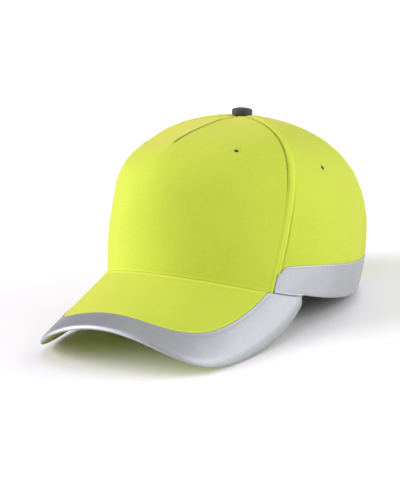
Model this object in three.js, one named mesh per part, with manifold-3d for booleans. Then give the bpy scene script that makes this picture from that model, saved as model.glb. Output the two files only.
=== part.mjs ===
// A high-visibility bump cap: a five-panel fabric cap over a removable protective shell.
// The cap is drawn in its own frame: the rim plane is z = 0, the peak points along -Y and
// the wearer's left is +X. The finished cap is then tipped back onto the surface it rests on.
// An angle round the crown is 0 at the front and grows towards the wearer's left.
import * as THREE from "three";
import { mergeVertices } from "three/addons/utils/BufferGeometryUtils.js";
import Module from "manifold-3d";

const wasm = await Module();
wasm.setup();

// Driving dimensions in millimetres and degrees.

// Crown outline at the rim, outside the fabric.
const RIM_HALF_LENGTH = 104;
const RIM_HALF_WIDTH = 82.8;
const RIM_DIP = 5.3;
const RIM_DIP_SKEW = 0.6;
const CROWN_HEIGHT = 119.4;
const APEX_SETBACK = 3.3;

// Shape of a meridian at the front, side and back: how far the wall leans out and how tall
// its straight foot is, then how far the top reaches out and how much it drops.
const WALL_LEAN = { front: 3.4, side: 4.9, back: 40.6 };
const WALL_FOOT = { front: 71.3, side: 74.5, back: 81 };
const TOP_REACH = { front: 132, side: 70.3, back: 80 };
const TOP_DROP = { front: 19.9, side: 0, back: 9.8 };

// Panels and the seams between them.
const PANEL_THICKNESS = 1;
const SEAM_GAP = 0.3;
const SEAM_STEP_ANGLE = 1.2;
const FRONT_SEAM_ANGLE = { rim: 57.1, middle: 70.1, top: 75.1 };
const BACK_SEAM_ANGLE = 132;
const TOP_HOLE_RADIUS = 4;
const DART_LENGTH = 81.5;
const DART_WIDTH = 0.4;
const LAYER_GAP = 0.6;

// Linings behind the panels.
const TAPE_WIDTH = 10;
const TAPE_THICKNESS = 0.6;
const TAPE_STOP_RADIUS = 14;
const TAPE_RISE = 3;
const STIFFENER_RISE = 6;
const STIFFENER_HEIGHT = 62;
const STIFFENER_SEAM_MARGIN = 8;
const SWEATBAND_WIDTH = 32;
const SWEATBAND_THICKNESS = 2.5;
const SWEATBAND_RISE = 0.6;

// Reflective band round the sides and back. Its top edge runs level at the front until the
// band reaches its full width, and its front corner is rounded beside the seam.
const BAND_WIDTH = 24.4;
const BAND_TOP_HEIGHT = 21.2;
const BAND_CORNER = { start: 3, length: 6, drop: 5.2 };
const BAND_THICKNESS = 0.5;
const BAND_PEAK_RISE = 2;
const HEM_RADIUS = 1.2;
const BEAD_GAP = 0.3;

// Arched opening at the back, and its bound edge.
const ARCH_HALF_WIDTH = 42;
const ARCH_SIDE_HEIGHT = 12;
const ARCH_HEIGHT = 46;
const ARCH_BINDING_RADIUS = 1;
const ARCH_CUT_BACK = 145;

// Peak: a stiff sheet bent to one radius and pitched down, with its outline on either side
// a smooth curve through four pulls from the front point to the end at the rim. The bend is
// given as its drop at the crown's half width.
const PEAK_BEND_DROP = 65.12;
const PEAK_PITCH_ANGLE = 28.2;
const PEAK_SPREAD_ANGLE = 71.6;
const PEAK_REACH = 59.2;
const PEAK_FRONT_PULL = 84;
const PEAK_CORNER_PULL = { across: 70, out: 27 };
const PEAK_END_PULL = { across: 6.4, out: 40 };
const PEAK_END_WIDTH = 3.2;
const PEAK_SEAT_GAP = 0.4;
const PEAK_SEAM_DEPTH = 3;
const COVER_THICKNESS = 0.4;
const BOARD_THICKNESS = 1.4;
const PEAK_LAYER_GAP = 0.2;
const STRIP_FRONT_WIDTH = 14.5;
const STRIP_SIDE_WIDTH = 16.3;
const STRIP_WIDENING_SHARE = 0.35;
const STRIP_END_SHARE = 0.92;
const STRIP_RETURN = 2.6;
const STRIP_THICKNESS = 0.4;
const STRIP_EDGE_ROUND = 0.9;

// Top button and its washer.
const BUTTON_RADIUS = 7.25;
const BUTTON_HEIGHT = 5.4;
const BUTTON_EDGE = 3.4;
const BUTTON_EDGE_ROUND = 0.7;
const BUTTON_TOP_RADIUS = 5.8;
const BUTTON_SHOULDER = 1.6;
const BUTTON_SEAT = 0.4;
const SHANK_RADIUS = 1.5;
const WASHER_RADIUS = 6.5;
const WASHER_THICKNESS = 0.8;
const WASHER_DROP = 1.4;
const FIT_GAP = 0.3;

// Stitched eyelets: angle round the crown and share of the way up the meridian.
const EYELET_ANGLE = { front: 38.3, side: 94.5, back: 154 };
const EYELET_HEIGHT_SHARE = { front: 0.673, side: 0.513, back: 0.62 };
const EYELET_BORE = 1.2;
const EYELET_BARREL = 2;
const EYELET_RING = 3.2;
const EYELET_RING_THICKNESS = 0.5;

// Closure straps across the arch.
const STRAP_WIDTH = 22;
const STRAP_RISE = 6;
const STRAP_UPRIGHT_SHARE = 0.92;
const STRAP_THICKNESS = 0.8;
const STRAP_GAP = 0.4;
const STRAP_SEAM_CLEARANCE = 2.5;
const TAB_HINGE_INSET = 8;
const TAB_LENGTH = 55;
const TAB_STEP = 10;
const TAB_END_ROUND = 8;
const PATCH_THICKNESS = 0.5;
const PATCH_MARGIN = 2;
const HOOK_PATCH_LENGTH = 22;
const LOOP_STRAP_PASS = 14;
const LOOP_PATCH_LENGTH = 44;

// Protective shell and the pads inside it.
const SHELL_THICKNESS = 2;
const SHELL_CLEARANCE = 0.6;
const SHELL_TOP_GAP = 0.4;
const SHELL_RISE = 20;
const SHELL_FIT_SHARPNESS = 40;
const VENT_WIDTH = 7;
const VENT_LENGTH = 24;
const VENT_ANGLES = [22, 50, 130, 158];
const VENT_HEIGHT_SHARE = 0.62;
const PAD_THICKNESS = 5;
const PAD_GAP = 0.7;
const CROWN_PAD_REACH = 34;
const PAD_SPREAD_ANGLE = 28;
const PAD_FOOT = 26;
const PAD_HEIGHT = 40;

// How deep the lowest edges are cut flat where the cap rests.
const REST_FLAT = 0.4;

const DEG = Math.PI / 180;
const SPREAD = PEAK_SPREAD_ANGLE * DEG;
const SEAM_STEP = SEAM_STEP_ANGLE * DEG;
const TAPE_DEPTH = PANEL_THICKNESS + LAYER_GAP;
const BAND_DEPTH = -LAYER_GAP - BAND_THICKNESS;
const STRAP_DEPTH = PANEL_THICKNESS / 2 + ARCH_BINDING_RADIUS + STRAP_GAP;
const SWEATBAND_DEPTH = STRAP_DEPTH + STRAP_THICKNESS + STRAP_GAP;
const STACK = 2 * COVER_THICKNESS + BOARD_THICKNESS + 2 * PEAK_LAYER_GAP;
const SHANK_DROP = PANEL_THICKNESS + WASHER_DROP + WASHER_THICKNESS + FIT_GAP;

// How far short of the top a surface's direction and a seam's width are still measured,
// and the small step that they are measured over.
const NEAR_TOP = 0.985;
const SMALL_STEP = 0.01;

const clamp01 = (x) => Math.min(1, Math.max(0, x));
const mix = (a, b, f) => a + (b - a) * f;
const ease = (x) => clamp01(x) ** 2 * (3 - 2 * clamp01(x));
const steps = (from, to, count) => Array.from({ length: count + 1 }, (_, i) => mix(from, to, i / count));

// A size given at front, side and back, blended smoothly round the crown.
function round(angle, { front, side, back }) {
  const mean = (front + back + 2 * side) / 4;
  const lean = ((front - back) / 2) * Math.cos(angle);
  return mean + lean + ((front + back - 2 * side) / 4) * Math.cos(2 * angle);
}

const peakRadius = (RIM_HALF_WIDTH ** 2 + PEAK_BEND_DROP ** 2) / (2 * PEAK_BEND_DROP);

// Height that a sheet bent to the peak's radius loses at a distance x from its middle.
function bendDrop(x) {
  return peakRadius - Math.sqrt(peakRadius ** 2 - x ** 2);
}

const pitchSlope = Math.tan(PEAK_PITCH_ANGLE * DEG);
const endX = RIM_HALF_WIDTH * Math.sin(SPREAD);
const endY = -RIM_HALF_LENGTH * Math.cos(SPREAD);
const frontRimHeight = bendDrop(endX) - (RIM_HALF_LENGTH + endY) * pitchSlope;

// Top surface of the peak above the point x, y.
function peakHeight(x, y) {
  return frontRimHeight + (y + RIM_HALF_LENGTH) * pitchSlope - bendDrop(x);
}

// Vertical thickness of a layer of the peak for each millimetre measured square to it.
function peakSteepness(x) {
  const slopeX = x / Math.sqrt(peakRadius ** 2 - x ** 2);
  return Math.hypot(1, slopeX, pitchSlope);
}

// Height of the rim line: along the peak at the front, then dipping slightly behind it.
function rimHeight(angle) {
  const a = Math.abs(angle);
  if (a < SPREAD) {
    return peakHeight(RIM_HALF_WIDTH * Math.sin(a), -RIM_HALF_LENGTH * Math.cos(a));
  }
  const along = ((a - SPREAD) / (Math.PI - SPREAD)) ** RIM_DIP_SKEW;
  return -RIM_DIP * Math.sin(Math.PI * along) ** 2;
}

// Outside surface of the crown at an angle round it, t going from 0 at the rim to 1 at the top.
function crown(angle, t) {
  const s = 1 - t;
  const [b0, b1, b2, b3] = [s ** 3, 3 * s * s * t, 3 * s * t * t, t ** 3];
  const scaled = ({ front, side, back }) => ({
    front: front / RIM_HALF_LENGTH,
    side: side / RIM_HALF_WIDTH,
    back: back / RIM_HALF_LENGTH,
  });
  const reach = b0 + b1 * (1 + round(angle, scaled(WALL_LEAN))) + b2 * round(angle, scaled(TOP_REACH));
  const rim = rimHeight(angle);
  const foot = rim + round(angle, WALL_FOOT);
  const shoulder = CROWN_HEIGHT - round(angle, TOP_DROP);
  return new THREE.Vector3(
    reach * RIM_HALF_WIDTH * Math.sin(angle),
    -reach * RIM_HALF_LENGTH * Math.cos(angle) + (1 - reach) * APEX_SETBACK,
    b0 * rim + b1 * foot + b2 * shoulder + b3 * CROWN_HEIGHT,
  );
}

// Unit normal of a surface of this kind, pointing out of the crown.
function outward(surface, angle, t) {
  const at = Math.min(t, NEAR_TOP);
  const across = surface(angle + SMALL_STEP, at).sub(surface(angle - SMALL_STEP, at));
  const up = surface(angle, at + SMALL_STEP).sub(surface(angle, Math.max(0, at - SMALL_STEP)));
  return across.cross(up).normalize();
}

// A point at a depth inside a surface, measured square to it.
function inset(surface, angle, t, depth) {
  return surface(angle, t).addScaledVector(outward(surface, angle, t), -depth);
}

// The t at which test(t), which grows with t, passes zero.
function solve(test) {
  let low = 0;
  let high = 1;
  for (let i = 0; i < 40; i += 1) {
    const middle = (low + high) / 2;
    if (test(middle) < 0) low = middle;
    else high = middle;
  }
  return (low + high) / 2;
}

// The t at a height above the rim line, and the t at a plan distance from the top.
const atRise = (angle, rise) => solve((t) => crown(angle, t).z - rimHeight(angle) - rise);
const atRadius = (angle, radius) =>
  solve((t) => radius - Math.hypot(crown(angle, t).x, crown(angle, t).y - APEX_SETBACK));

// The angle that a distance along the wall takes up at a height on it.
function arcAngle(angle, t, distance) {
  const chord = crown(angle + SMALL_STEP, t).distanceTo(crown(angle - SMALL_STEP, t));
  return (2 * SMALL_STEP * distance) / chord;
}

// Angle of the seam between the front panel and a side panel.
function frontSeam(t) {
  const { rim, middle, top } = FRONT_SEAM_ANGLE;
  return ((1 - t) ** 2 * rim + 2 * (1 - t) * t * middle + t ** 2 * top) * DEG;
}

// The crown's surface found from the distance across and the height, on the back.
function onBack(x, z, depth) {
  let angle = Math.PI - Math.asin(x / RIM_HALF_WIDTH);
  let t = 0;
  for (let i = 0; i < 12; i += 1) {
    t = solve((at) => inset(crown, angle, at, depth).z - z);
    const found = inset(crown, angle, t, depth);
    angle += (found.x - x) / RIM_HALF_WIDTH;
  }
  return inset(crown, angle, t, depth);
}

// The angle at which the rim reaches a distance across, behind the peak.
const backAngle = (x) => Math.PI - Math.asin(x / RIM_HALF_WIDTH);

// A geometry with shared corners, no collapsed faces and faces pointing out.
function welded(geometry) {
  const bare = geometry.clone();
  bare.deleteAttribute("normal");
  bare.deleteAttribute("uv");
  const merged = mergeVertices(bare, 1e-4);
  const kept = [];
  const index = merged.index.array;
  const [a, b, c] = [new THREE.Vector3(), new THREE.Vector3(), new THREE.Vector3()];
  let volume = 0;
  for (let i = 0; i < index.length; i += 3) {
    const face = [index[i], index[i + 1], index[i + 2]];
    if (new Set(face).size === 3) {
      kept.push(...face);
      a.fromBufferAttribute(merged.attributes.position, face[0]);
      b.fromBufferAttribute(merged.attributes.position, face[1]);
      c.fromBufferAttribute(merged.attributes.position, face[2]);
      volume += a.dot(b.cross(c));
    }
  }
  if (volume < 0) kept.reverse();
  merged.setIndex(kept);
  return merged;
}

function solid(geometry) {
  const closed = welded(geometry);
  return new wasm.Manifold(
    new wasm.Mesh({
      numProp: 3,
      vertProperties: new Float32Array(closed.attributes.position.array),
      triVerts: new Uint32Array(closed.index.array),
    }),
  );
}

function cut(geometry, ...tools) {
  const result = tools.reduce((body, tool) => body.subtract(solid(tool)), solid(geometry));
  const { vertProperties, triVerts } = result.getMesh();
  const made = new THREE.BufferGeometry();
  made.setAttribute("position", new THREE.BufferAttribute(vertProperties, 3));
  made.setIndex(new THREE.BufferAttribute(triVerts, 1));
  return made;
}

// A curved sheet: a segmented box carried onto point(u, v, side), side 0 outside and 1 inside.
function sheet(us, vs, point) {
  const [columns, rows] = [us.length - 1, vs.length - 1];
  const box = new THREE.BoxGeometry(columns, rows, 1, columns, rows, 1);
  // The inner face is split along the same diagonals as the outer one, so that layers nest.
  const innerFace = box.groups[5];
  const index = box.index.array;
  for (let i = innerFace.start; i < innerFace.start + innerFace.count; i += 6) {
    const [a, b, d, , c] = index.slice(i, i + 6);
    index.set([a, b, c, a, c, d], i);
  }
  const place = box.attributes.position;
  for (let i = 0; i < place.count; i += 1) {
    const u = us[Math.round(place.getX(i) + columns / 2)];
    const v = vs[Math.round(place.getY(i) + rows / 2)];
    const at = point(u, v, place.getZ(i) > 0 ? 0 : 1);
    place.setXYZ(i, at.x, at.y, at.z);
  }
  return welded(box);
}

// A dome closed at the top: a lathe body carried onto point(angle, v, side), v 1 at the top.
function dome(columns, rows, point) {
  const up = steps(0, 1, rows);
  const profile = [...up.map((v) => [v, 0]), ...up.reverse().map((v) => [v, 1])];
  profile.push(profile[0]);
  const drawn = profile.map(([v, side]) => new THREE.Vector2(1 - v, v - side));
  const lathe = new THREE.LatheGeometry(drawn, columns);
  const place = lathe.attributes.position;
  for (let i = 0; i < place.count; i += 1) {
    const column = Math.floor(i / profile.length) % columns;
    const [v, side] = profile[i % profile.length];
    const at = point((2 * Math.PI * column) / columns, v, side);
    place.setXYZ(i, at.x, at.y, at.z);
  }
  return welded(lathe);
}

// A round bar with flat ends along a path.
function bar(points, radius, sides) {
  const ring = steps(0, 2 * Math.PI, sides).slice(0, -1);
  const corners = ring.map((a) => new THREE.Vector2(radius * Math.cos(a), radius * Math.sin(a)));
  const section = new THREE.Shape(corners);
  const extrudePath = new THREE.CatmullRomCurve3(points);
  return welded(new THREE.ExtrudeGeometry(section, { steps: points.length - 1, extrudePath }));
}

// A turned body whose axis stands square to the crown at an angle and t.
function turnedOnCrown(profile, sides, angle, t) {
  const body = new THREE.LatheGeometry(profile.map(([r, y]) => new THREE.Vector2(r, y)), sides);
  const normal = outward(crown, angle, t);
  body.applyQuaternion(new THREE.Quaternion().setFromUnitVectors(new THREE.Vector3(0, 1, 0), normal));
  const at = crown(angle, t);
  return welded(body.translate(at.x, at.y, at.z));
}

// A point seen from above that lies beside the rim, clear of it by the peak's seat gap.
function besideRim(angle) {
  const rim = new THREE.Vector2(RIM_HALF_WIDTH * Math.sin(angle), -RIM_HALF_LENGTH * Math.cos(angle));
  const out = new THREE.Vector2(Math.sin(angle) / RIM_HALF_WIDTH, -Math.cos(angle) / RIM_HALF_LENGTH);
  return rim.addScaledVector(out.normalize(), PEAK_SEAT_GAP);
}

// Outline of the peak seen from above, u from -1 to 1.
function peakOutline(u) {
  const w = Math.abs(u);
  const s = 1 - w;
  const front = -RIM_HALF_LENGTH - PEAK_REACH;
  const pulls = [
    [0, front, s ** 4],
    [PEAK_FRONT_PULL, front, 4 * s ** 3 * w],
    [PEAK_CORNER_PULL.across, -RIM_HALF_LENGTH - PEAK_CORNER_PULL.out, 6 * s ** 2 * w ** 2],
    [endX + PEAK_END_PULL.across, endY - PEAK_END_PULL.out, 4 * s * w ** 3],
    [...besideRim(SPREAD), w ** 4],
  ];
  const x = pulls.reduce((sum, [px, , weight]) => sum + px * weight, 0);
  const y = pulls.reduce((sum, [, py, weight]) => sum + py * weight, 0);
  return new THREE.Vector2(Math.sign(u) * x, y);
}

// The inner edge stops short of the outline's ends, which leaves them a small width.
const innerSpread = SPREAD - PEAK_END_WIDTH / RIM_HALF_LENGTH;
const peakInner = (u) => besideRim(innerSpread * u);

// A point on the peak at a distance in from its edge and a depth below its top.
function peakPoint(u, inward, depth) {
  const edge = peakOutline(u);
  const inner = peakInner(u);
  const length = edge.distanceTo(inner);
  const at = edge.lerp(inner, Math.min(inward / length, 1));
  return new THREE.Vector3(at.x, at.y, peakHeight(at.x, at.y) - depth * peakSteepness(at.x));
}

const peakLength = (u) => peakOutline(u).distanceTo(peakInner(u));
const peakColumns = steps(-1, 1, 26);
const PEAK_EDGE_INSET = STRIP_THICKNESS + PEAK_LAYER_GAP;

// Width of the reflective strip on top of the peak, which fills the peak's narrow ends.
function stripWidth(u) {
  const wanted = mix(STRIP_FRONT_WIDTH, STRIP_SIDE_WIDTH, ease(Math.abs(u) / STRIP_WIDENING_SHARE));
  return Math.min(wanted, STRIP_END_SHARE * peakLength(u));
}

const stripReturn = (u) => Math.min(STRIP_RETURN, stripWidth(u) / 3);

// One layer of the peak between two depths, stopping inside the folded strip.
function peakLayer(top, bottom) {
  return sheet(peakColumns, steps(0, 5, 5), (u, row, side) => {
    const width = stripWidth(u);
    const beyond = peakLength(u) - width;
    const rows = [PEAK_EDGE_INSET, stripReturn(u), ...steps(width, width + beyond, 3)];
    return peakPoint(u, rows[row], side ? bottom : top);
  });
}

// Reflective strip: along the top of the edge, round it and back along the underside.
function peakStrip() {
  const proud = STRIP_THICKNESS + PEAK_LAYER_GAP;
  return sheet(peakColumns, steps(0, 6, 6), (u, row, side) => {
    const width = stripWidth(u);
    const turn = Math.min(STRIP_EDGE_ROUND, width / 4);
    const hidden = side * STRIP_THICKNESS;
    const profile = [
      [stripReturn(u), STACK + proud - hidden],
      [turn, STACK + proud - hidden],
      [hidden, STACK],
      [hidden, 0],
      [turn, hidden - proud],
      [stripReturn(u), hidden - proud],
      [width, hidden - proud],
    ];
    return peakPoint(u, ...profile[row]);
  });
}

// Lowest edge of a panel: below the peak's top at the front, above the hem behind the peak.
const PANEL_RISE = 2 * HEM_RADIUS + BEAD_GAP;
function wall(angle, v, top, depth) {
  const behindPeak = Math.abs(angle) > SPREAD + SEAM_STEP / 2;
  const foot = behindPeak ? atRise(angle, PANEL_RISE) : 0;
  const at = inset(crown, angle, mix(foot, top, v), depth);
  if (v === 0 && !behindPeak) at.z -= PEAK_SEAM_DEPTH;
  return at;
}

const topEdge = (angle) => atRadius(angle, TOP_HOLE_RADIUS);
const halfSeam = (angle, t) => arcAngle(angle, Math.min(t, NEAR_TOP), SEAM_GAP / 2);

// A turned body at the place of an eyelet.
function turnedAtEyelet(profile, place, side) {
  return turnedOnCrown(profile, 8, side * EYELET_ANGLE[place] * DEG, EYELET_HEIGHT_SHARE[place]);
}

function eyeletHole(place, side) {
  const hole = EYELET_BARREL + FIT_GAP;
  const reach = 4 * PANEL_THICKNESS;
  return turnedAtEyelet([[0, -reach], [hole, -reach], [hole, reach], [0, reach]], place, side);
}

function frontPanel() {
  const slit = new THREE.BoxGeometry(DART_WIDTH, DART_LENGTH, CROWN_HEIGHT);
  slit.translate(0, APEX_SETBACK - DART_LENGTH / 2, CROWN_HEIGHT);
  const body = sheet(steps(-1, 1, 18), steps(0, 1, 11), (u, v, side) => {
    const t = v * topEdge(0);
    const edge = frontSeam(t) - halfSeam(frontSeam(t), t);
    return wall(u * edge, v, topEdge(u * edge), side * PANEL_THICKNESS);
  });
  return cut(body, slit, eyeletHole("front", 1), eyeletHole("front", -1));
}

function sidePanel(side) {
  const back = BACK_SEAM_ANGLE * DEG;
  const knot = (SPREAD - frontSeam(0)) / (back - frontSeam(0));
  const step = SEAM_STEP / (back - frontSeam(0));
  const columns = [0, knot / 2, knot, ...steps(knot + step, 1, 7)].map((u) => u * side);
  const body = sheet(columns.sort((a, b) => a - b), steps(0, 1, 11), (u, v, face) => {
    const t = v * topEdge(Math.PI / 2);
    const from = frontSeam(t) + halfSeam(frontSeam(t), t);
    const to = back - halfSeam(back, t);
    const angle = side * mix(from, to, Math.abs(u));
    return wall(angle, v, topEdge(angle), face * PANEL_THICKNESS);
  });
  return cut(body, eyeletHole("side", side));
}

// Prism through the back in the shape of the arch, grown by a margin.
function archTool(margin) {
  const shape = new THREE.Shape();
  const half = ARCH_HALF_WIDTH + margin;
  shape.moveTo(-half, -RIM_HALF_LENGTH);
  shape.lineTo(half, -RIM_HALF_LENGTH);
  shape.lineTo(half, ARCH_SIDE_HEIGHT);
  shape.absellipse(0, ARCH_SIDE_HEIGHT, half, ARCH_HEIGHT - ARCH_SIDE_HEIGHT + margin, 0, Math.PI);
  const prism = new THREE.ExtrudeGeometry(shape, {
    depth: RIM_HALF_LENGTH,
    bevelEnabled: false,
    curveSegments: 8,
  });
  return prism.rotateX(Math.PI / 2).translate(0, ARCH_CUT_BACK, 0);
}

function backPanel(side) {
  const from = BACK_SEAM_ANGLE * DEG;
  const body = sheet(steps(Math.min(0, side), Math.max(0, side), 7), steps(0, 1, 13), (u, v, face) => {
    const t = v * topEdge(Math.PI);
    const low = from + halfSeam(from, t);
    const high = Math.PI - halfSeam(Math.PI, t);
    const angle = side * mix(low, high, Math.abs(u));
    return wall(angle, v, topEdge(angle), face * PANEL_THICKNESS);
  });
  return cut(body, archTool(ARCH_BINDING_RADIUS + BEAD_GAP), eyeletHole("back", side));
}

// Woven tape behind a seam, from a height above the rim up to where the tapes meet.
function seamTape(seam, side, low) {
  return sheet([-1, 0, 1], steps(0, 1, 12), (u, v, face) => {
    const top = atRadius(seam(1), TAPE_STOP_RADIUS);
    const t = mix(atRise(seam(0), low), top, v);
    const angle = side * seam(t) + u * arcAngle(seam(t), t, TAPE_WIDTH / 2);
    return inset(crown, angle, t, TAPE_DEPTH + face * TAPE_THICKNESS);
  });
}

function dartTape() {
  const start = solve((t) => crown(0, t).y - APEX_SETBACK + DART_LENGTH);
  return sheet([-1, 0, 1], steps(0, 1, 6), (u, v, face) => {
    const t = mix(start, atRadius(0, TAPE_STOP_RADIUS), v);
    return inset(crown, u * arcAngle(0, t, TAPE_WIDTH / 2), t, TAPE_DEPTH + face * TAPE_THICKNESS);
  });
}

function stiffener() {
  return sheet(steps(-1, 1, 16), steps(0, 1, 5), (u, v, face) => {
    const t = atRise(0, mix(STIFFENER_RISE, STIFFENER_HEIGHT, v));
    const edge = frontSeam(t) - arcAngle(frontSeam(t), t, STIFFENER_SEAM_MARGIN);
    return inset(crown, u * edge, t, TAPE_DEPTH + face * TAPE_THICKNESS);
  });
}

const SWEATBAND_END = backAngle(ARCH_HALF_WIDTH + 2 * ARCH_BINDING_RADIUS);
function sweatband() {
  const beside = steps(SPREAD + SEAM_STEP, SWEATBAND_END, 10);
  const columns = [...beside.map((a) => -a).reverse(), ...steps(-SPREAD, SPREAD, 18), ...beside];
  return sheet(columns, [0, 1, 2], (angle, v, face) => {
    const depth = SWEATBAND_DEPTH + face * SWEATBAND_THICKNESS;
    const at = inset(crown, angle, atRise(angle, mix(SWEATBAND_RISE, SWEATBAND_WIDTH, v / 2)), depth);
    if (v === 0 && Math.abs(angle) <= SPREAD) at.z -= PEAK_SEAM_DEPTH;
    return at;
  });
}

// Angle at which the bound arch edge takes the place of the band and the hem.
const BAND_END = backAngle(ARCH_HALF_WIDTH + ARCH_BINDING_RADIUS + BEAD_GAP);

function bandTop(angle, along) {
  const level = Math.min(BAND_TOP_HEIGHT, rimHeight(angle) + BAND_WIDTH);
  const short = clamp01(1 - (along - BAND_CORNER.start) / BAND_CORNER.length);
  return level - BAND_CORNER.drop * (1 - Math.sqrt(1 - short ** 2)) - rimHeight(angle);
}

function reflectiveBand(side) {
  const start = (t) => frontSeam(t) + halfSeam(frontSeam(t), t);
  const share = (distance) => distance / RIM_HALF_WIDTH / (BAND_END - start(0));
  const corner = steps(BAND_CORNER.start, BAND_CORNER.start + BAND_CORNER.length, 3).map(share);
  const knot = (SPREAD - start(0)) / (BAND_END - start(0));
  const step = SEAM_STEP / (BAND_END - start(0));
  const columns = [0, ...corner, knot, ...steps(knot + step, 1, 10)].map((u) => u * side);
  const body = sheet(columns.sort((a, b) => a - b), [0, 1, 2], (u, v, face) => {
    const footAngle = mix(start(0), BAND_END, Math.abs(u));
    const along = (footAngle - start(0)) * RIM_HALF_WIDTH;
    const top = bandTop(footAngle, along);
    const low = footAngle > SPREAD + SEAM_STEP / 2 ? PANEL_RISE : BAND_PEAK_RISE;
    const t = atRise(footAngle, mix(low, top, v / 2));
    const angle = side * mix(start(t), BAND_END, Math.abs(u));
    return inset(crown, angle, t, BAND_DEPTH + face * BAND_THICKNESS);
  });
  return cut(body, archTool(ARCH_BINDING_RADIUS + BEAD_GAP));
}

// Centre line of the folded hem along the rim behind the peak.
function hemPoint(angle) {
  const at = inset(crown, angle, 0, PANEL_THICKNESS / 2);
  at.z = rimHeight(angle) + HEM_RADIUS;
  return at;
}

const HEM_END = backAngle(ARCH_HALF_WIDTH + 2 * ARCH_BINDING_RADIUS + BEAD_GAP);
function rimHem(side) {
  const angles = steps(SPREAD + 1.5 * SEAM_STEP, HEM_END, 12);
  return bar(angles.map((a) => hemPoint(side * a)), HEM_RADIUS, 8);
}

function archBinding() {
  const flat = new THREE.Path();
  const centre = ARCH_HALF_WIDTH;
  flat.moveTo(centre, HEM_RADIUS);
  flat.lineTo(centre, ARCH_SIDE_HEIGHT);
  flat.absellipse(0, ARCH_SIDE_HEIGHT, centre, ARCH_HEIGHT - ARCH_SIDE_HEIGHT, 0, Math.PI);
  flat.lineTo(-centre, HEM_RADIUS);
  const points = flat.getSpacedPoints(26).map((p) => onBack(p.x, p.y, PANEL_THICKNESS / 2));
  return bar(points, ARCH_BINDING_RADIUS, 6);
}

function button() {
  const edge = BUTTON_SEAT + BUTTON_EDGE;
  const shoulder = steps(0, Math.PI / 2, 3).map((a) => [
    mix(BUTTON_TOP_RADIUS, BUTTON_RADIUS, Math.cos(a)),
    edge + BUTTON_SHOULDER * Math.sin(a),
  ]);
  const profile = [
    [0, -SHANK_DROP],
    [SHANK_RADIUS, -SHANK_DROP],
    [SHANK_RADIUS, BUTTON_SEAT],
    [BUTTON_RADIUS - BUTTON_EDGE_ROUND, BUTTON_SEAT],
    [BUTTON_RADIUS, BUTTON_SEAT + BUTTON_EDGE_ROUND],
    ...shoulder,
    [0, BUTTON_SEAT + BUTTON_HEIGHT],
  ];
  return turnedAtTop(profile, 16);
}

function turnedAtTop(profile, sides) {
  const body = new THREE.LatheGeometry(profile.map(([r, y]) => new THREE.Vector2(r, y)), sides);
  return welded(body.rotateX(Math.PI / 2).translate(0, APEX_SETBACK, CROWN_HEIGHT));
}

function washer() {
  const top = -PANEL_THICKNESS - WASHER_DROP;
  const low = top - WASHER_THICKNESS;
  const bore = SHANK_RADIUS + FIT_GAP;
  return turnedAtTop([[bore, low], [WASHER_RADIUS, low], [WASHER_RADIUS, top], [bore, top], [bore, low]], 16);
}

function eyelet(place, side) {
  const low = -PANEL_THICKNESS - FIT_GAP;
  const seat = LAYER_GAP;
  const top = seat + EYELET_RING_THICKNESS;
  const profile = [[EYELET_BORE, low], [EYELET_BARREL, low], [EYELET_BARREL, seat], [EYELET_RING, seat]];
  profile.push([EYELET_RING, top], [EYELET_BORE, top], [EYELET_BORE, low]);
  return turnedAtEyelet(profile, place, side);
}

// Distances along the strap are measured across the back, from +X to -X.
const HINGE_X = ARCH_HALF_WIDTH - TAB_HINGE_INSET;
const TAB_DEPTH = -2 * STRAP_GAP - 2 * PATCH_THICKNESS - STRAP_THICKNESS - STRAP_GAP;
function strapPoint(x, v, depth) {
  const angle = backAngle(Math.abs(x));
  const t = atRise(angle, STRAP_RISE + v * STRAP_WIDTH * STRAP_UPRIGHT_SHARE);
  return inset(crown, x < 0 ? -angle : angle, t, depth);
}

// A strap or patch through places across the back, with its depth and edge margin given
// along it.
function strap(places, depth, thickness, margin) {
  return sheet(places, [0, 0.5, 1], (x, v, face) => {
    const edge = margin(x) / STRAP_WIDTH;
    return strapPoint(x, mix(edge, 1 - edge, v), depth(x) + face * thickness);
  });
}

const tabStart = HINGE_X - SEAM_GAP;
const tabEnd = HINGE_X - TAB_LENGTH;
const tabDepth = (x) => STRAP_DEPTH + mix(0, TAB_DEPTH, ease((HINGE_X - x) / TAB_STEP));
const backSeamX = RIM_HALF_WIDTH * Math.sin(BACK_SEAM_ANGLE * DEG);
const rootOuter = backSeamX - TAPE_WIDTH / 2 - STRAP_SEAM_CLEARANCE;
const flatDepth = () => STRAP_DEPTH;
const noMargin = () => 0;
const patchMargin = () => PATCH_MARGIN;

// How much narrower the tab is on each edge near its rounded end.
function tabMargin(x) {
  const past = clamp01((tabEnd + TAB_END_ROUND - x) / TAB_END_ROUND);
  return TAB_END_ROUND * (1 - Math.sqrt(1 - past ** 2));
}

function hookTab() {
  const rounding = steps(0, Math.PI / 2, 4).map((a) => tabEnd + TAB_END_ROUND * (1 - Math.sin(a)));
  const straight = steps(tabStart, tabEnd + TAB_END_ROUND, 8).slice(0, -1);
  return strap([...straight, ...rounding], tabDepth, STRAP_THICKNESS, tabMargin);
}

function hookPatch() {
  const end = tabEnd + TAB_END_ROUND;
  const depth = (x) => tabDepth(x) + STRAP_THICKNESS + STRAP_GAP;
  return strap(steps(end + HOOK_PATCH_LENGTH, end, 4), depth, PATCH_THICKNESS, patchMargin);
}

function loopPatch() {
  const start = LOOP_STRAP_PASS - PATCH_MARGIN;
  const depth = () => STRAP_DEPTH - STRAP_GAP - PATCH_THICKNESS;
  return strap(steps(start, start - LOOP_PATCH_LENGTH, 6), depth, PATCH_THICKNESS, patchMargin);
}

const hookRoot = () => strap(steps(rootOuter, HINGE_X, 3), flatDepth, STRAP_THICKNESS, noMargin);
const loopStrap = () => strap(steps(LOOP_STRAP_PASS, -rootOuter, 11), flatDepth, STRAP_THICKNESS, noMargin);

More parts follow.
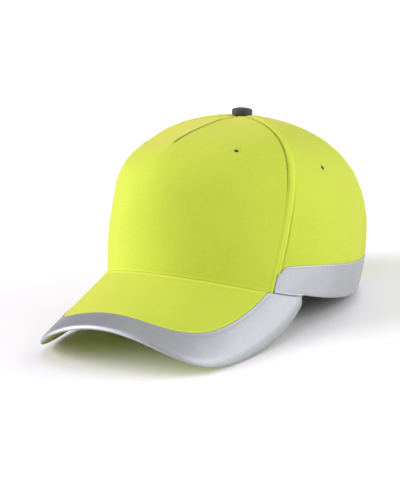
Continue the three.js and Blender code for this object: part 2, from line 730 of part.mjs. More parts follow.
// Outside of the shell: it carries the crown's top at the button's shank and follows the wall
// inside the sweatband, but stays within the sweatband's opening seen from below, so that it
// slides straight out.
const SHELL_DEPTH = SWEATBAND_DEPTH + SWEATBAND_THICKNESS + SHELL_CLEARANCE;
function shellSurface(angle, t) {
  const at = inset(crown, angle, t, mix(SHELL_DEPTH, SHANK_DROP + SHELL_TOP_GAP, ease(t)));
  const across = at.x / (RIM_HALF_WIDTH - SHELL_DEPTH);
  const along = at.y / (RIM_HALF_LENGTH - SHELL_DEPTH);
  const share = Math.hypot(across, along);
  const held = (1 + share ** SHELL_FIT_SHARPNESS) ** (-1 / SHELL_FIT_SHARPNESS);
  at.x *= held;
  at.y *= held;
  return at;
}

const shellFoot = (angle) => atRise(angle, SHELL_RISE);

function ventTool(angle) {
  const at = inset(shellSurface, angle, VENT_HEIGHT_SHARE, SHELL_THICKNESS / 2);
  const normal = outward(shellSurface, angle, VENT_HEIGHT_SHARE);
  const along = (VENT_LENGTH - VENT_WIDTH) / 2;
  const slot = new THREE.Shape();
  slot.absarc(0, along, VENT_WIDTH / 2, 0, Math.PI);
  slot.absarc(0, -along, VENT_WIDTH / 2, Math.PI, 2 * Math.PI);
  const depth = 6 * SHELL_THICKNESS;
  const tool = new THREE.ExtrudeGeometry(slot, { depth, bevelEnabled: false, curveSegments: 2 });
  tool.translate(0, 0, -depth / 2);
  const up = new THREE.Vector3(0, 0, 1);
  const side = new THREE.Vector3().crossVectors(up, normal).normalize();
  const rise = new THREE.Vector3().crossVectors(normal, side);
  tool.applyMatrix4(new THREE.Matrix4().makeBasis(side, rise, normal));
  return tool.translate(at.x, at.y, at.z);
}

function shell() {
  const body = dome(36, 9, (angle, v, side) => {
    const turned = angle > Math.PI ? angle - 2 * Math.PI : angle;
    return inset(shellSurface, turned, mix(shellFoot(turned), 1, v), side * SHELL_THICKNESS);
  });
  const vents = VENT_ANGLES.flatMap((a) => [ventTool(a * DEG), ventTool(-a * DEG)]);
  return cut(body, ...vents);
}

const padDepth = SHELL_THICKNESS + PAD_GAP;

function crownPad() {
  return dome(16, 3, (angle, v, side) => {
    const turned = angle > Math.PI ? angle - 2 * Math.PI : angle;
    const foot = atRadius(turned, CROWN_PAD_REACH);
    return inset(shellSurface, turned, mix(foot, 1, v), padDepth + side * PAD_THICKNESS);
  });
}

// A pad on the shell's wall, centred on an angle.
function wallPad(middle) {
  const half = PAD_SPREAD_ANGLE * DEG;
  return sheet(steps(middle - half, middle + half, 6), steps(0, 1, 4), (angle, v, side) => {
    const turned = angle > Math.PI ? angle - 2 * Math.PI : angle;
    const t = atRise(turned, PAD_FOOT + v * PAD_HEIGHT);
    return inset(shellSurface, turned, t, padDepth + side * PAD_THICKNESS);
  });
}

// How far the cap tips back so that the peak's corners and the back of the rim rest together.
const backRest = hemPoint(HEM_END).add(new THREE.Vector3(0, 0, -HEM_RADIUS));
const tipAngle = Math.max(
  ...peakColumns.map((u) => {
    const low = peakPoint(u, STRIP_EDGE_ROUND, STACK + STRIP_THICKNESS + PEAK_LAYER_GAP);
    return Math.atan2(backRest.z - low.z, backRest.y - low.y);
  }),
);
const lift = Math.sin(tipAngle) * backRest.y - Math.cos(tipAngle) * backRest.z - REST_FLAT;
const seated = new THREE.Matrix4().makeRotationX(-tipAngle).setPosition(0, 0, lift);

// Takes away what lies under the resting plane.
function restedFlat(geometry) {
  const size = 4 * RIM_HALF_LENGTH;
  const floor = new THREE.BoxGeometry(size, size, RIM_HALF_LENGTH).translate(0, 0, -RIM_HALF_LENGTH / 2);
  return cut(geometry, floor.applyMatrix4(seated.clone().invert()));
}

const finish = (colour, roughness, metalness = 0) =>
  new THREE.MeshStandardMaterial({ color: new THREE.Color(colour), roughness, metalness });
const hiVis = () => finish("#d3e04f", 0.85);
const reflective = () => finish("#c3c6cb", 0.45, 0.2);
const tape = () => finish("#c9d65a", 0.9);
const darkCloth = () => finish("#3c3e40", 0.9);

const cap = new THREE.Group();
cap.applyMatrix4(seated);
const closure = new THREE.Group();
const insert = new THREE.Group();
cap.add(closure, insert);

function add(group, name, geometry, material) {
  const mesh = new THREE.Mesh(geometry, material);
  mesh.name = name;
  group.add(mesh);
}

const sides = [
  ["left", 1],
  ["right", -1],
];

add(cap, "front_panel", frontPanel(), hiVis());
add(cap, "front_stiffener", stiffener(), finish("#e8e6df", 0.9));
add(cap, "dart_tape", dartTape(), tape());
add(cap, "centre_back_tape", seamTape(() => Math.PI, 1, ARCH_HEIGHT + 2 * ARCH_BINDING_RADIUS), tape());
add(cap, "sweatband", sweatband(), darkCloth());
add(cap, "arch_binding", archBinding(), finish("#b9c647", 0.9));
for (const [word, side] of sides) {
  add(cap, `side_panel_${word}`, sidePanel(side), hiVis());
  add(cap, `back_panel_${word}`, backPanel(side), hiVis());
  add(cap, `front_seam_tape_${word}`, seamTape(frontSeam, side, TAPE_RISE), tape());
  add(cap, `back_seam_tape_${word}`, seamTape(() => BACK_SEAM_ANGLE * DEG, side, TAPE_RISE), tape());
  add(cap, `reflective_band_${word}`, reflectiveBand(side), reflective());
  add(cap, `rim_hem_${word}`, restedFlat(rimHem(side)), reflective());
  for (const place of Object.keys(EYELET_ANGLE)) {
    add(cap, `eyelet_${place}_${word}`, eyelet(place, side), finish("#b4c440", 0.8));
  }
}

const boardTop = COVER_THICKNESS + PEAK_LAYER_GAP;
const underTop = boardTop + BOARD_THICKNESS + PEAK_LAYER_GAP;
add(cap, "peak_top_cover", peakLayer(0, COVER_THICKNESS), hiVis());
add(cap, "peak_board", peakLayer(boardTop, boardTop + BOARD_THICKNESS), finish("#e4e4e0", 0.6));
add(cap, "peak_under_cover", peakLayer(underTop, STACK), hiVis());
add(cap, "peak_reflective_strip", restedFlat(peakStrip()), reflective());

add(cap, "top_button", button(), finish("#4a4b4a", 0.7));
add(cap, "button_washer", washer(), finish("#b8bcc0", 0.4, 0.9));

add(cap, "hook_strap_root", hookRoot(), hiVis());
add(cap, "loop_strap", loopStrap(), hiVis());
add(cap, "loop_patch", loopPatch(), darkCloth());
add(closure, "hook_strap_tab", hookTab(), hiVis());
add(closure, "hook_patch", hookPatch(), darkCloth());

add(insert, "shell", shell(), finish("#2b2d30", 0.45));
add(insert, "crown_pad", crownPad(), finish("#3a3c3f", 0.95));
add(insert, "front_pad", wallPad(0), finish("#3a3c3f", 0.95));
add(insert, "back_pad", wallPad(Math.PI), finish("#3a3c3f", 0.95));
for (const [word, side] of sides) {
  add(insert, `side_pad_${word}`, wallPad((side * Math.PI) / 2), finish("#3a3c3f", 0.95));
}

// The origin lies under the middle of the cap's outline.
const part = new THREE.Group();
part.add(cap);
const middle = new THREE.Box3().setFromObject(part, true).getCenter(new THREE.Vector3());
cap.position.y -= middle.y;

export default part;
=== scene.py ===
"""Looks of the high-visibility bump cap: sewn fabric, reflective trim, peak, shell and pads."""

import math

import bmesh
import bpy
import numpy as np
from mathutils import Matrix, Vector


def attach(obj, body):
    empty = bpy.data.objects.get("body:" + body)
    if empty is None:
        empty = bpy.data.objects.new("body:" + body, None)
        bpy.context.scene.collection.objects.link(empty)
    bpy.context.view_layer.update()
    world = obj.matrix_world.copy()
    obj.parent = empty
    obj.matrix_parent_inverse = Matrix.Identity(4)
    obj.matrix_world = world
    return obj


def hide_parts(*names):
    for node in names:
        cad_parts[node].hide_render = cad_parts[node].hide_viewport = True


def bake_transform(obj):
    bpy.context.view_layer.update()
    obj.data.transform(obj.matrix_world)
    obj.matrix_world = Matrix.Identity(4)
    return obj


bl_info = {
    "name": "Bump cap looks",
    "version": (1, 0, 0),
    "blender": (4, 5, 0),
    "location": "View3D > Sidebar > Bump cap",
    "description": "Builds the sewn, padded and moulded pieces of a high-visibility bump cap",
    "category": "Add Mesh",
}

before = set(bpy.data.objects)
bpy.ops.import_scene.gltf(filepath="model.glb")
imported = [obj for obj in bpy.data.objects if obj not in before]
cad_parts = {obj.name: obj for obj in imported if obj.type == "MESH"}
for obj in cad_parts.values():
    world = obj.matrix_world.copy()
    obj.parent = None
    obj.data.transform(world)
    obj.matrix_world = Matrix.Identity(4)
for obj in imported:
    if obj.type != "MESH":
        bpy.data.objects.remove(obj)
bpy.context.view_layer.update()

MM = 0.001
DEG = math.pi / 180

# Crown. Lengths are in millimetres, and the sizes of the CAD pieces are as in the part's source.
RIM_HALF_LENGTH = 104
RIM_HALF_WIDTH = 82.8
RIM_RADIUS = 80
RIM_DIP = 5.3
RIM_DIP_SKEW = 0.6
CROWN_HEIGHT = 119.4
APEX_SETBACK = 3.3
WALL_LEAN = (3.4, 4.9, 40.6)
WALL_FOOT = (71.3, 74.5, 81)
TOP_REACH = (132, 70.3, 80)
TOP_DROP = (19.9, 0, 9.8)
FRONT_SEAM = (57.1, 70.1, 75.1)
BACK_SEAM = 132 * DEG
TOP_HOLE_RADIUS = 4
DART_LENGTH = 87
SPREAD = 71.6 * DEG
SEAM_STEP = 1.2 * DEG
HEM_RADIUS = 1.2
PANEL_RISE = 2 * HEM_RADIUS + 0.3
PANEL_THICKNESS = 0.8
SEAM_HALF_GAP = 0.02
PEAK_TUCK = 3.0
CLOTH_PITCH = 1.9
TAPE_DEPTH = 1.6
TAPE_HALF_WIDTH = 5
TAPE_THICKNESS = 0.5
TAPE_TOP_RADIUS = 14
STIFFENER_RISE = (6, 62)
STIFFENER_MARGIN = 8
FELL = 3
KEEL_HEIGHT = 1.8
KEEL_SOFT = (0.55, 15)
KEEL_SHARP = (0.45, 6)
KEEL_FADE = 0.16
PANEL_FLATNESS = (2.8, 1.8, 0.8)
STRAP_DEPTH = 1.9
SWEATBAND_DEPTH = 3.1
SWEATBAND_WIDTH = 32
SWEATBAND_HALF_LENGTH = 260
SWEATBAND_PUFF = 2.35
ARCH_HALF_WIDTH = 42
ARCH_SIDE_HEIGHT = 12
ARCH_HEIGHT = 46
ARCH_MARGIN = 0.45
BINDING_RADIUS = 1
FOLD_THICKNESS = 0.4

# Reflective band.
BAND_WIDTH = 24.4
BAND_TOP_HEIGHT = 21.2
BAND_BEND_SOFTNESS = 1.2
BAND_CORNER_START = 2.4
BAND_CORNER_LENGTH = 6
BAND_CORNER_DROP = 4.8
BAND_LENGTH = 118
BAND_THICKNESS = 0.42
BAND_CLEAR = 0.08
BAND_BELOW = 2.5
BAND_FOOT = (0.8, 1.8)
BAND_END_STITCHES = 3.3

# Peak.
PEAK_BEND_DROP = 65.12
PEAK_PITCH = 28.2 * DEG
PEAK_REACH = 59.2
PEAK_FRONT_PULL = 84
PEAK_CORNER_PULL = (70, 27)
PEAK_END_PULL = (6.4, 40)
PEAK_END_WIDTH = 3.2
PEAK_SEAT_GAP = 0.4
PEAK_STACK = 2.6
COVER_THICKNESS = 0.35
COVER_SINK = 0.15
COVER_START = 1.1
STRIP_PROUD = 0.15
STRIP_THICKNESS = 0.3
STRIP_FRONT_WIDTH = 14.5
STRIP_SIDE_WIDTH = 16.3
STRIP_WIDENING = 0.35
STRIP_RETURN = 1.2
# The peak's strip wears the band's reflective cloth darkened by this share: painted shade, a shaded
# copy of the same cloth.
STRIP_PAINTED_SHADE = 0.93

# Button, eyelets, straps and shell.
BUTTON_RADIUS = 7.35
BUTTON_HEIGHT = 4.9
BUTTON_SEAT = 0.4
BUTTON_GATHERS = 11
EYELET_HOLE = 1.9
EYELET_REACH = 6
EYELET_TURNS = 26
EYELET_PLACES = {"front": (38.3, 0.673), "side": (94.5, 0.513), "back": (154, 0.62)}
STRAP_WIDTH = 22
STRAP_RISE = 6
STRAP_UPRIGHT_SHARE = 0.92
STRAP_THICKNESS = 0.8
STRAP_GAP = 0.4
PATCH_THICKNESS = 0.5
PATCH_BODY = 0.75
PATCH_GAP = 0.08
PATCH_MARGIN = 2
HOOK_PATCH_LENGTH = 22
LOOP_PATCH_LENGTH = 44
STRAP_STEP = 1.2
HINGE_X = 34
BEND_HALF_LENGTH = 3.5
TAB_END_X = -21
TAB_STEP = 10
TAB_END_ROUND = 8
LOOP_STRAP_PASS = 14
STRAP_ROOT_X = 54
SHELL_DEPTH = 6.2
SHELL_TOP_DEPTH = 3.9
SHELL_RISE = 20
SHELL_THICKNESS = 2
SHELL_ROUND = 0.4
SHELL_FIT_SHARPNESS = 40
VENT_ANGLES = (22, 50, 130, 158)
VENT_HEIGHT = 0.62
VENT_WIDTH = 7
VENT_LENGTH = 24
VENT_REACH = 20
PAD_DEPTH = 2.7
PAD_THICKNESS = 5
PAD_FILL = 0.97
PAD_EDGE = 1.4
PAD_ROUND = 5
PAD_GAP = 0.05
PAD_HALF_SPREAD = 28 * DEG
PAD_RISE = 26
PAD_HEIGHT = 40
PAD_RADIUS = 75
CROWN_PAD_HALF = 34

# Stitches.
STITCH_SINK = 0.1
STITCH_FILL = 0.78

# How the cap sits in the part's frame.
TIP_ANGLE = 11.300342 * DEG
CAP_LIFT = (0, 20.251508, 18.409131)

# The photograph's view, in the cap's own frame.
CAMERA_PLACE = (1044.0, -1598.4, 234.4)
CAMERA_BACK = (0.551084, -0.828665, 0.098086)
CAMERA_UP = (-0.084419, 0.061578, 0.994526)
CAMERA_LENS = 192.6
CAMERA_SHIFT = (-0.0275, -0.0684)


# ---- Shapes shared by the pieces ----


def clamp01(x):
    return np.clip(x, 0, 1)


def mix(a, b, f):
    return a + (b - a) * f


def ease(x):
    return clamp01(x) ** 2 * (3 - 2 * clamp01(x))


def bump(distance, width):
    """A soft bump, 1 at the middle."""
    return np.exp(-((distance / width) ** 2))


def form(distance, height, place, width):
    """A soft ridge beside a seam or an edge, or a groove where the height is below 0."""
    return height * bump(distance - place, width)


def blended(angle, sizes):
    """A size given at the front, side and back, blended smoothly round the crown."""
    front, side, back = sizes
    mean = (front + back + 2 * side) / 4
    turn = (front - back) / 2 * np.cos(angle)
    return mean + turn + (front + back - 2 * side) / 4 * np.cos(2 * angle)


SIDES = (("left", 1), ("right", -1))
SOLVE_STEPS = 34
DIFFERENCE = 0.01

# Directions and lengths are taken no nearer the top than this.
LAST_T = 0.985
SPAN_TOP = 0.97

PEAK_RADIUS = (RIM_HALF_WIDTH**2 + PEAK_BEND_DROP**2) / (2 * PEAK_BEND_DROP)
PEAK_SLOPE = math.tan(PEAK_PITCH)


def bend_drop(x):
    return PEAK_RADIUS - np.sqrt(PEAK_RADIUS**2 - x**2)


END_X = RIM_HALF_WIDTH * math.sin(SPREAD)
END_Y = -RIM_HALF_LENGTH * math.cos(SPREAD)
FRONT_RIM_HEIGHT = bend_drop(END_X) - (RIM_HALF_LENGTH + END_Y) * PEAK_SLOPE


def peak_height(x, y):
    return FRONT_RIM_HEIGHT + (y + RIM_HALF_LENGTH) * PEAK_SLOPE - bend_drop(x)


def rim_height(angle):
    """Height of the rim line: along the peak at the front, dipping slightly behind it."""
    a = np.abs(angle)
    front = np.minimum(a, SPREAD)
    ahead = peak_height(RIM_HALF_WIDTH * np.sin(front), -RIM_HALF_LENGTH * np.cos(front))
    along = clamp01((a - SPREAD) / (math.pi - SPREAD)) ** RIM_DIP_SKEW
    return np.where(a < SPREAD, ahead, -RIM_DIP * np.sin(math.pi * along) ** 2)


def crown(angle, t):
    """Outside of the crown: t goes from 0 at the rim to 1 at the top."""
    angle, t = np.broadcast_arrays(np.asarray(angle, float), np.asarray(t, float))
    s = 1 - t
    b0, b1, b2, b3 = s**3, 3 * s * s * t, 3 * s * t * t, t**3
    over = (RIM_HALF_LENGTH, RIM_HALF_WIDTH, RIM_HALF_LENGTH)
    lean = blended(angle, [a / b for a, b in zip(WALL_LEAN, over)])
    top = blended(angle, [a / b for a, b in zip(TOP_REACH, over)])
    reach = b0 + b1 * (1 + lean) + b2 * top
    rim = rim_height(angle)
    height = b0 * rim + b1 * (rim + blended(angle, WALL_FOOT))
    height = height + b2 * (CROWN_HEIGHT - blended(angle, TOP_DROP)) + b3 * CROWN_HEIGHT
    across = reach * RIM_HALF_WIDTH * np.sin(angle)
    along = -reach * RIM_HALF_LENGTH * np.cos(angle) + (1 - reach) * APEX_SETBACK
    return np.stack([across, along, height], -1)


def outward(surface, angle, t):
    """Unit normal of a surface like the crown."""
    at, step = np.minimum(t, LAST_T), DIFFERENCE
    across = surface(angle + step, at) - surface(angle - step, at)
    up = surface(angle, at + step) - surface(angle, np.maximum(at - step, 0))
    normal = np.cross(across, up)
    return normal / np.linalg.norm(normal, axis=-1, keepdims=True)


def inset(surface, angle, t, depth):
    depth = np.asarray(depth, float)[..., None]
    return surface(angle, t) - depth * outward(surface, angle, t)


def solve(test, shape):
    """The t at which test(t), which grows with t, passes zero."""
    low, high = np.zeros(shape), np.ones(shape)
    for _ in range(SOLVE_STEPS):
        middle = (low + high) / 2
        below = test(middle) < 0
        low, high = np.where(below, middle, low), np.where(below, high, middle)
    return (low + high) / 2


def at_rise(angle, rise):
    """The t at a height above the rim line."""
    angle, rise = np.broadcast_arrays(np.asarray(angle, float), np.asarray(rise, float))
    return solve(lambda t: crown(angle, t)[..., 2] - rim_height(angle) - rise, angle.shape)


def at_radius(angle, radius):
    """The t at a distance from the top, seen from above."""
    angle = np.asarray(angle, float)

    def past(t):
        p = crown(angle, t)
        return radius - np.hypot(p[..., 0], p[..., 1] - APEX_SETBACK)

    return solve(past, angle.shape)


def span(angle, t):
    """Millimetres round the crown for each radian."""
    step = DIFFERENCE
    return np.linalg.norm(crown(angle + step, t) - crown(angle - step, t), axis=-1) / (2 * step)


def front_seam(t):
    rim, middle, top = FRONT_SEAM
    return ((1 - t) ** 2 * rim + 2 * (1 - t) * t * middle + t**2 * top) * DEG


def back_seam(t):
    return BACK_SEAM + 0 * t


def centre_seam(t):
    return math.pi + 0 * t


def dart_line(t):
    return 0 * t


def back_angle(x):
    return math.pi - np.arcsin(np.clip(x / RIM_HALF_WIDTH, -1, 1))


def on_back(x, z, depth):
    """The crown's surface found from the distance across and the height, on the back."""
    x, z = np.broadcast_arrays(np.asarray(x, float), np.asarray(z, float))
    angle = back_angle(x)
    for _ in range(12):
        t = solve(lambda t: inset(crown, angle, t, depth + 0 * t)[..., 2] - z, x.shape)
        angle = angle + (inset(crown, angle, t, depth + 0 * t)[..., 0] - x) / RIM_HALF_WIDTH
    return angle, t


def placed(points):
    """Points of the cap's own frame, in millimetres, moved to the part's frame, in metres."""
    c, s = math.cos(TIP_ANGLE), math.sin(TIP_ANGLE)
    points = np.asarray(points, float)
    x, y, z = points[..., 0], points[..., 1], points[..., 2]
    return np.stack([x, c * y + s * z + CAP_LIFT[1], -s * y + c * z + CAP_LIFT[2]], -1) * MM


def turned(directions):
    """Directions of the cap's own frame, turned to the part's frame."""
    return (placed(directions) - placed(np.zeros(3))) / MM


# ---- Peak ----


def peak_steepness(x):
    """Height for each millimetre square to the peak's surface."""
    return np.sqrt(1 + x**2 / (PEAK_RADIUS**2 - x**2) + PEAK_SLOPE**2)


def beside_rim(angle):
    """The peak's inner edge, seen from above: the rim with a gap."""
    x, y = RIM_HALF_WIDTH * np.sin(angle), -RIM_HALF_LENGTH * np.cos(angle)
    out = np.stack([np.sin(angle) / RIM_HALF_WIDTH, -np.cos(angle) / RIM_HALF_LENGTH], -1)
    out = out / np.linalg.norm(out, axis=-1, keepdims=True)
    return np.stack([x, y], -1) + PEAK_SEAT_GAP * out


def peak_outline(u):
    """Outline of the peak seen from above, u from -1 to 1."""
    w = np.abs(u)
    s = 1 - w
    front = -RIM_HALF_LENGTH - PEAK_REACH
    end = beside_rim(SPREAD)
    pulls = [
        (0, front, s**4),
        (PEAK_FRONT_PULL, front, 4 * s**3 * w),
        (PEAK_CORNER_PULL[0], -RIM_HALF_LENGTH - PEAK_CORNER_PULL[1], 6 * s**2 * w**2),
        (END_X + PEAK_END_PULL[0], END_Y - PEAK_END_PULL[1], 4 * s * w**3),
        (end[0], end[1], w**4),
    ]
    x = sum(px * weight for px, _, weight in pulls)
    y = sum(py * weight for _, py, weight in pulls)
    return np.stack([np.sign(u) * x, y], -1)


INNER_SPREAD = SPREAD - PEAK_END_WIDTH / RIM_HALF_LENGTH


def peak_inner(u):
    return beside_rim(INNER_SPREAD * u)


def peak_length(u):
    return np.linalg.norm(peak_outline(u) - peak_inner(u), axis=-1)


def peak_point(u, inward, depth):
    """A point on the peak at a distance in from its edge and a depth below its top."""
    edge, inner = peak_outline(u), peak_inner(u)
    share = np.minimum(inward / np.linalg.norm(edge - inner, axis=-1), 1)[..., None]
    at = edge + (inner - edge) * share
    x, y = at[..., 0], at[..., 1]
    return np.stack([x, y, peak_height(x, y) - depth * peak_steepness(x)], -1)


def strip_width(u):
    """Width of the reflective strip, wider at the sides and within the peak's length."""
    wanted = mix(STRIP_FRONT_WIDTH, STRIP_SIDE_WIDTH, ease(np.abs(u) / STRIP_WIDENING))
    return np.minimum(wanted, peak_length(u))


# ---- Sewing: how the seams shape the cloth ----


# Distance and width of the forms beside a seam whose height varies.
SEAM_SWELL = (2.1, 1.7)
FELL_FRONT_GROOVE = (-FELL - 0.3, 0.65)
FELL_BACK_GROOVE = (FELL + 0.2, 0.6)

# Height and width of the groove that the stitches draw in.
SEAM_STITCHES = (-0.16, 0.5)

# Height, distance and width of the other ridges and grooves.
SEAM_GROOVE = (-0.85, 0, 0.6)
FELL_JOIN = (-0.1, 0, 0.4)
EYELET_DIMPLE = (-0.25, 0, 4.2)
BAND_SEAM_RIDGE = (0.35, 1.4, 1.0)
BAND_SEAM_GROOVE = (-0.3, 3.2, 0.5)
BAND_OVER_SEAM = (0.18, 2.0, 1.5)
BAND_OVER_JOIN = (-0.14, 0, 0.8)
BAND_EDGE_ROLL = (0.1, 1.0, 0.7)
BAND_EDGE_GROOVE = (-0.08, 1.9, 0.45)
COVER_ROLL = (0.35, 1.0, 0.8)
COVER_GROOVE = (-0.1, 2.6, 0.5)
STRIP_ROLL = (0.1, 0.9, 0.7)
STRIP_GROOVE = (-0.14, 1.8, 0.45)
SWEATBAND_STITCHES = (-0.25, 4.2, 0.7)
PAD_GROOVE = (-0.35, 6.5, 1.0)

# How far doubled cloth and the band stand out.
FELL_HEIGHT = 0.55
BAND_LIFT = 0.75

# Seed of the puckers along each seam, and height of the cloth's swelling beside it.
FRONT_SEED = 1.3
BACK_FORM = (4.1, 0.4)
CENTRE_FORM = (2.2, 0.34)
DART_FORM = (6.5, 0.25)

# Puckers: height and wavelength, and how far from the seam they fade.
SEAM_PUCKER = (0.2, 17)
PUCKER_REACH = 9
STITCH_RIPPLE = 3.0

# The dart's stitches from its middle, and the length over which its ends fade.
DART_REACH = 2.4
DART_FADE = 5

# Length of a seam from the rim to the top.
CROWN_RISE = 160

# Unevenness: height, seed and wavelength.
WAVE_SHARES = (1.0, 1.618, 2.37, 3.11)
LOOSE_HEIGHT = 0.3
LOOSE_ACROSS = (3.3, 95)
LOOSE_UP = (5.1, 80)
BAND_WAVE = (0.07, 3.9, 23)
COVER_WAVE = (0.15, 1.9, 120)
SWEATBAND_WAVE = (0.12, 2.6, 31)

# Cloth lies double this far past the strip and this far before the peak's inner seam, and is
# lightened there, partly as thicker cloth and partly as a painted highlight.
COVER_FELL = (0.8, 1.6)
COVER_FELL_FADE = 0.6


def waves(along, seed, wavelength):
    """A wandering wave along a seam, from -1 to 1, the same in every run."""
    total = 0
    for k, share in enumerate(WAVE_SHARES):
        total = total + np.sin(2 * math.pi * share * along / wavelength + seed * (1.7 + 2.3 * k))
    return total / len(WAVE_SHARES)


def wavy(along, height, seed, wavelength):
    return height * waves(along, seed, wavelength)


def seam_profile(distance, along, seed, ridge, reach):
    """Height of the cloth beside a seam: a groove, swollen allowances and a stitched line."""
    d = np.abs(distance)
    deep, width = SEAM_STITCHES
    ripple = 0.75 + 0.5 * np.cos(2 * math.pi * along / STITCH_RIPPLE)
    high, wavelength = SEAM_PUCKER
    pucker = wavy(along, high, seed, wavelength) * np.exp(-d / PUCKER_REACH) * clamp01(d / 2)
    groove, swell = form(d, *SEAM_GROOVE), form(d, ridge, *SEAM_SWELL)
    return groove + swell + form(d, deep, reach, width) * ripple + pucker


def felled(distance):
    """1 on the doubled cloth beside a seam, 0 past it."""
    return np.exp(-((distance / FELL) ** 6))


def high_up(t):
    """From 0 in the crown's lower part to 1 in its upper part."""
    return ease((t - 0.25) / 0.3)


def felled_profile(distance, t, along, seed):
    """Height of the cloth beside the front seam: doubled on both sides, stitched at its edges."""
    doubled = FELL_HEIGHT * felled(distance)
    high = high_up(t)
    front = form(distance, -mix(0.3, 1.0, high), *FELL_FRONT_GROOVE)
    back = form(distance, -mix(0.5, 0.2, high), *FELL_BACK_GROOVE)
    swing, wavelength = SEAM_PUCKER
    pucker = wavy(along, swing, seed, wavelength) * np.exp(-np.abs(distance) / PUCKER_REACH)
    return doubled + front + back + form(distance, *FELL_JOIN) + pucker


def doubled_cloth_and_groove_shade(angle, t):
    """1 where the crown's cloth lies double, by its seams and foot, and -1 in its grooves: the
    lightening is partly doubled cloth and partly a painted highlight on the seam ridges, the
    darkening is painted shade.
    """
    a, across = np.abs(angle), span(angle, np.minimum(t, SPAN_TOP))
    place, high = crown(angle, t), high_up(t)
    from_seam = (a - front_seam(t)) * across
    share = np.maximum(felled(from_seam), 1 - ease(place[..., 2] - rim_height(angle) - 0.8))
    # Grooves beside the front, back and centre seams and along the dart, where shade is painted.
    ahead = form(from_seam, high, FELL_FRONT_GROOVE[0], 0.7)
    groove = np.maximum(ahead, form(from_seam, 0.8 * (1 - high), *FELL_BACK_GROOVE))
    for seam in (BACK_SEAM, math.pi):
        share = np.maximum(share, 0.7 * felled((a - seam) * across))
        groove = np.maximum(groove, 0.8 * bump((a - seam) * across, 0.6))
    groove = np.maximum(groove, in_dart(a, place) * bump(place[..., 0], 1.0))
    return share * (1 - groove) - groove


def in_dart(a, place):
    """1 along the dart's length, in front of the button, and 0 past its ends."""
    y = place[..., 1] - APEX_SETBACK
    return ease((y + DART_LENGTH) / DART_FADE) * (a < 1) * ease((-y - 2) / DART_FADE)


def flatness(angle, t):
    """How far in each panel's middle lies from the plain crown, which makes the seams corners."""
    a, front = np.abs(angle), front_seam(t)
    widening = mix(2.2, 1.0, ease((t - 0.35) / 0.4))
    shares = [clamp01(a / front) ** widening, (a - front) / (BACK_SEAM - front)]
    shares.append((a - BACK_SEAM) / (math.pi - BACK_SEAM))
    total = 0
    for share, depth in zip(shares, PANEL_FLATNESS):
        total = total + depth * 4 * clamp01(share) * (1 - clamp01(share))
    return total * ease((t - 0.1) / 0.25) * ease((1 - t) / 0.35)


def height_on_crown(angle, t, covered):
    """How far the sewn crown stands out from its plain shape, in millimetres."""
    side = np.sign(angle) + (angle == 0)
    a = np.abs(angle)
    across = span(angle, np.minimum(t, SPAN_TOP))
    along = t * CROWN_RISE
    fade = ease((LAST_T - t) / 0.05)
    total = felled_profile((a - front_seam(t)) * across, t, along, FRONT_SEED * side) * fade
    seed, swell = BACK_FORM
    total = total + seam_profile((a - BACK_SEAM) * across, along, seed * side, swell, FELL) * fade
    total = total + seam_profile((math.pi - a) * across, along, *CENTRE_FORM, FELL) * fade
    # The dart, and the crease that runs down from its end.
    place = crown(angle, t)
    x, y = place[..., 0], place[..., 1] - APEX_SETBACK
    total = total + seam_profile(x, -y, *DART_FORM, DART_REACH) * in_dart(a, place)
    above = ease((-y - 6) / 24)
    keel = np.where(t < CREASE_TOP_T, np.exp((t - CREASE_TOP_T) / KEEL_FADE), above) * (a < 1)
    (soft, wide), (sharp, narrow) = KEEL_SOFT, KEEL_SHARP
    ridge = soft * bump(x, wide) + sharp * np.exp(-np.abs(x) / narrow)
    total = total + KEEL_HEIGHT * keel * ridge
    # Slow unevenness of cloth over a lining.
    slope = place[..., 2] + 0.6 * y
    loose = LOOSE_HEIGHT * waves(x + 40, *LOOSE_ACROSS) * waves(slope, *LOOSE_UP)
    total = total + loose * ease(t / 0.2) * fade - flatness(angle, t)
    return np.where(covered, np.minimum(total, 0.1) * 0.4, total)


def crease_top():
    t = np.linspace(0, 1, 4001)
    y = crown(0 * t, t)[:, 1] - APEX_SETBACK
    return float(t[np.argmin(np.abs(y + DART_LENGTH) + 10 * (t < 0.3))])


CREASE_TOP_T = crease_top()
TOP_T = float(at_radius(0.0, TOP_HOLE_RADIUS))


def band_top(angle, along):
    """Rise of the band's top edge: level at the front, with a rounded corner by the seam."""
    rim = rim_height(angle)
    soft = BAND_BEND_SOFTNESS
    full = BAND_WIDTH - soft * np.log1p(np.exp((rim + BAND_WIDTH - BAND_TOP_HEIGHT) / soft))
    short = clamp01(1 - (along - BAND_CORNER_START) / BAND_CORNER_LENGTH)
    return full - BAND_CORNER_DROP * (1 - np.sqrt(1 - short**2))


def eyelets():
    """The node, angle and t of each eyelet."""
    for place, (degrees, height) in EYELET_PLACES.items():
        for word, side in SIDES:
            yield f"eyelet_{place}_{word}", np.array(side * degrees * DEG), np.array(height)


def eyelet_distance(angle, t):
    """Millimetres to the nearest eyelet on a crown surface."""
    here = crown(angle, t)
    away = [np.linalg.norm(here - crown(*there), axis=-1) for _, *there in eyelets()]
    return np.min(away, axis=0)


def sewn(angle, t, depth):
    """The sewn crown's surface at a depth below its outside face."""
    rise = crown(angle, t)[..., 2] - rim_height(angle)
    past = (np.abs(angle) - front_seam(t)) * RIM_HALF_WIDTH
    covered = (rise < band_top(angle, past) - 0.5) & (past > 0)
    lift = height_on_crown(angle, t, covered)
    return inset(crown, angle, t, depth - lift - form(eyelet_distance(angle, t), *EYELET_DIMPLE))


# ---- Meshes ----


def spaced(length, step, ends):
    """Places from 0 to 1 along a length, closer together near its ends."""
    near = np.array([0, *ends]) / length
    count = max(2, round(length * (1 - 2 * near[-1]) / step))
    inner = np.linspace(near[-1], 1 - near[-1], count + 1)
    return np.unique(np.round(np.concatenate([near, inner, 1 - near]), 7))


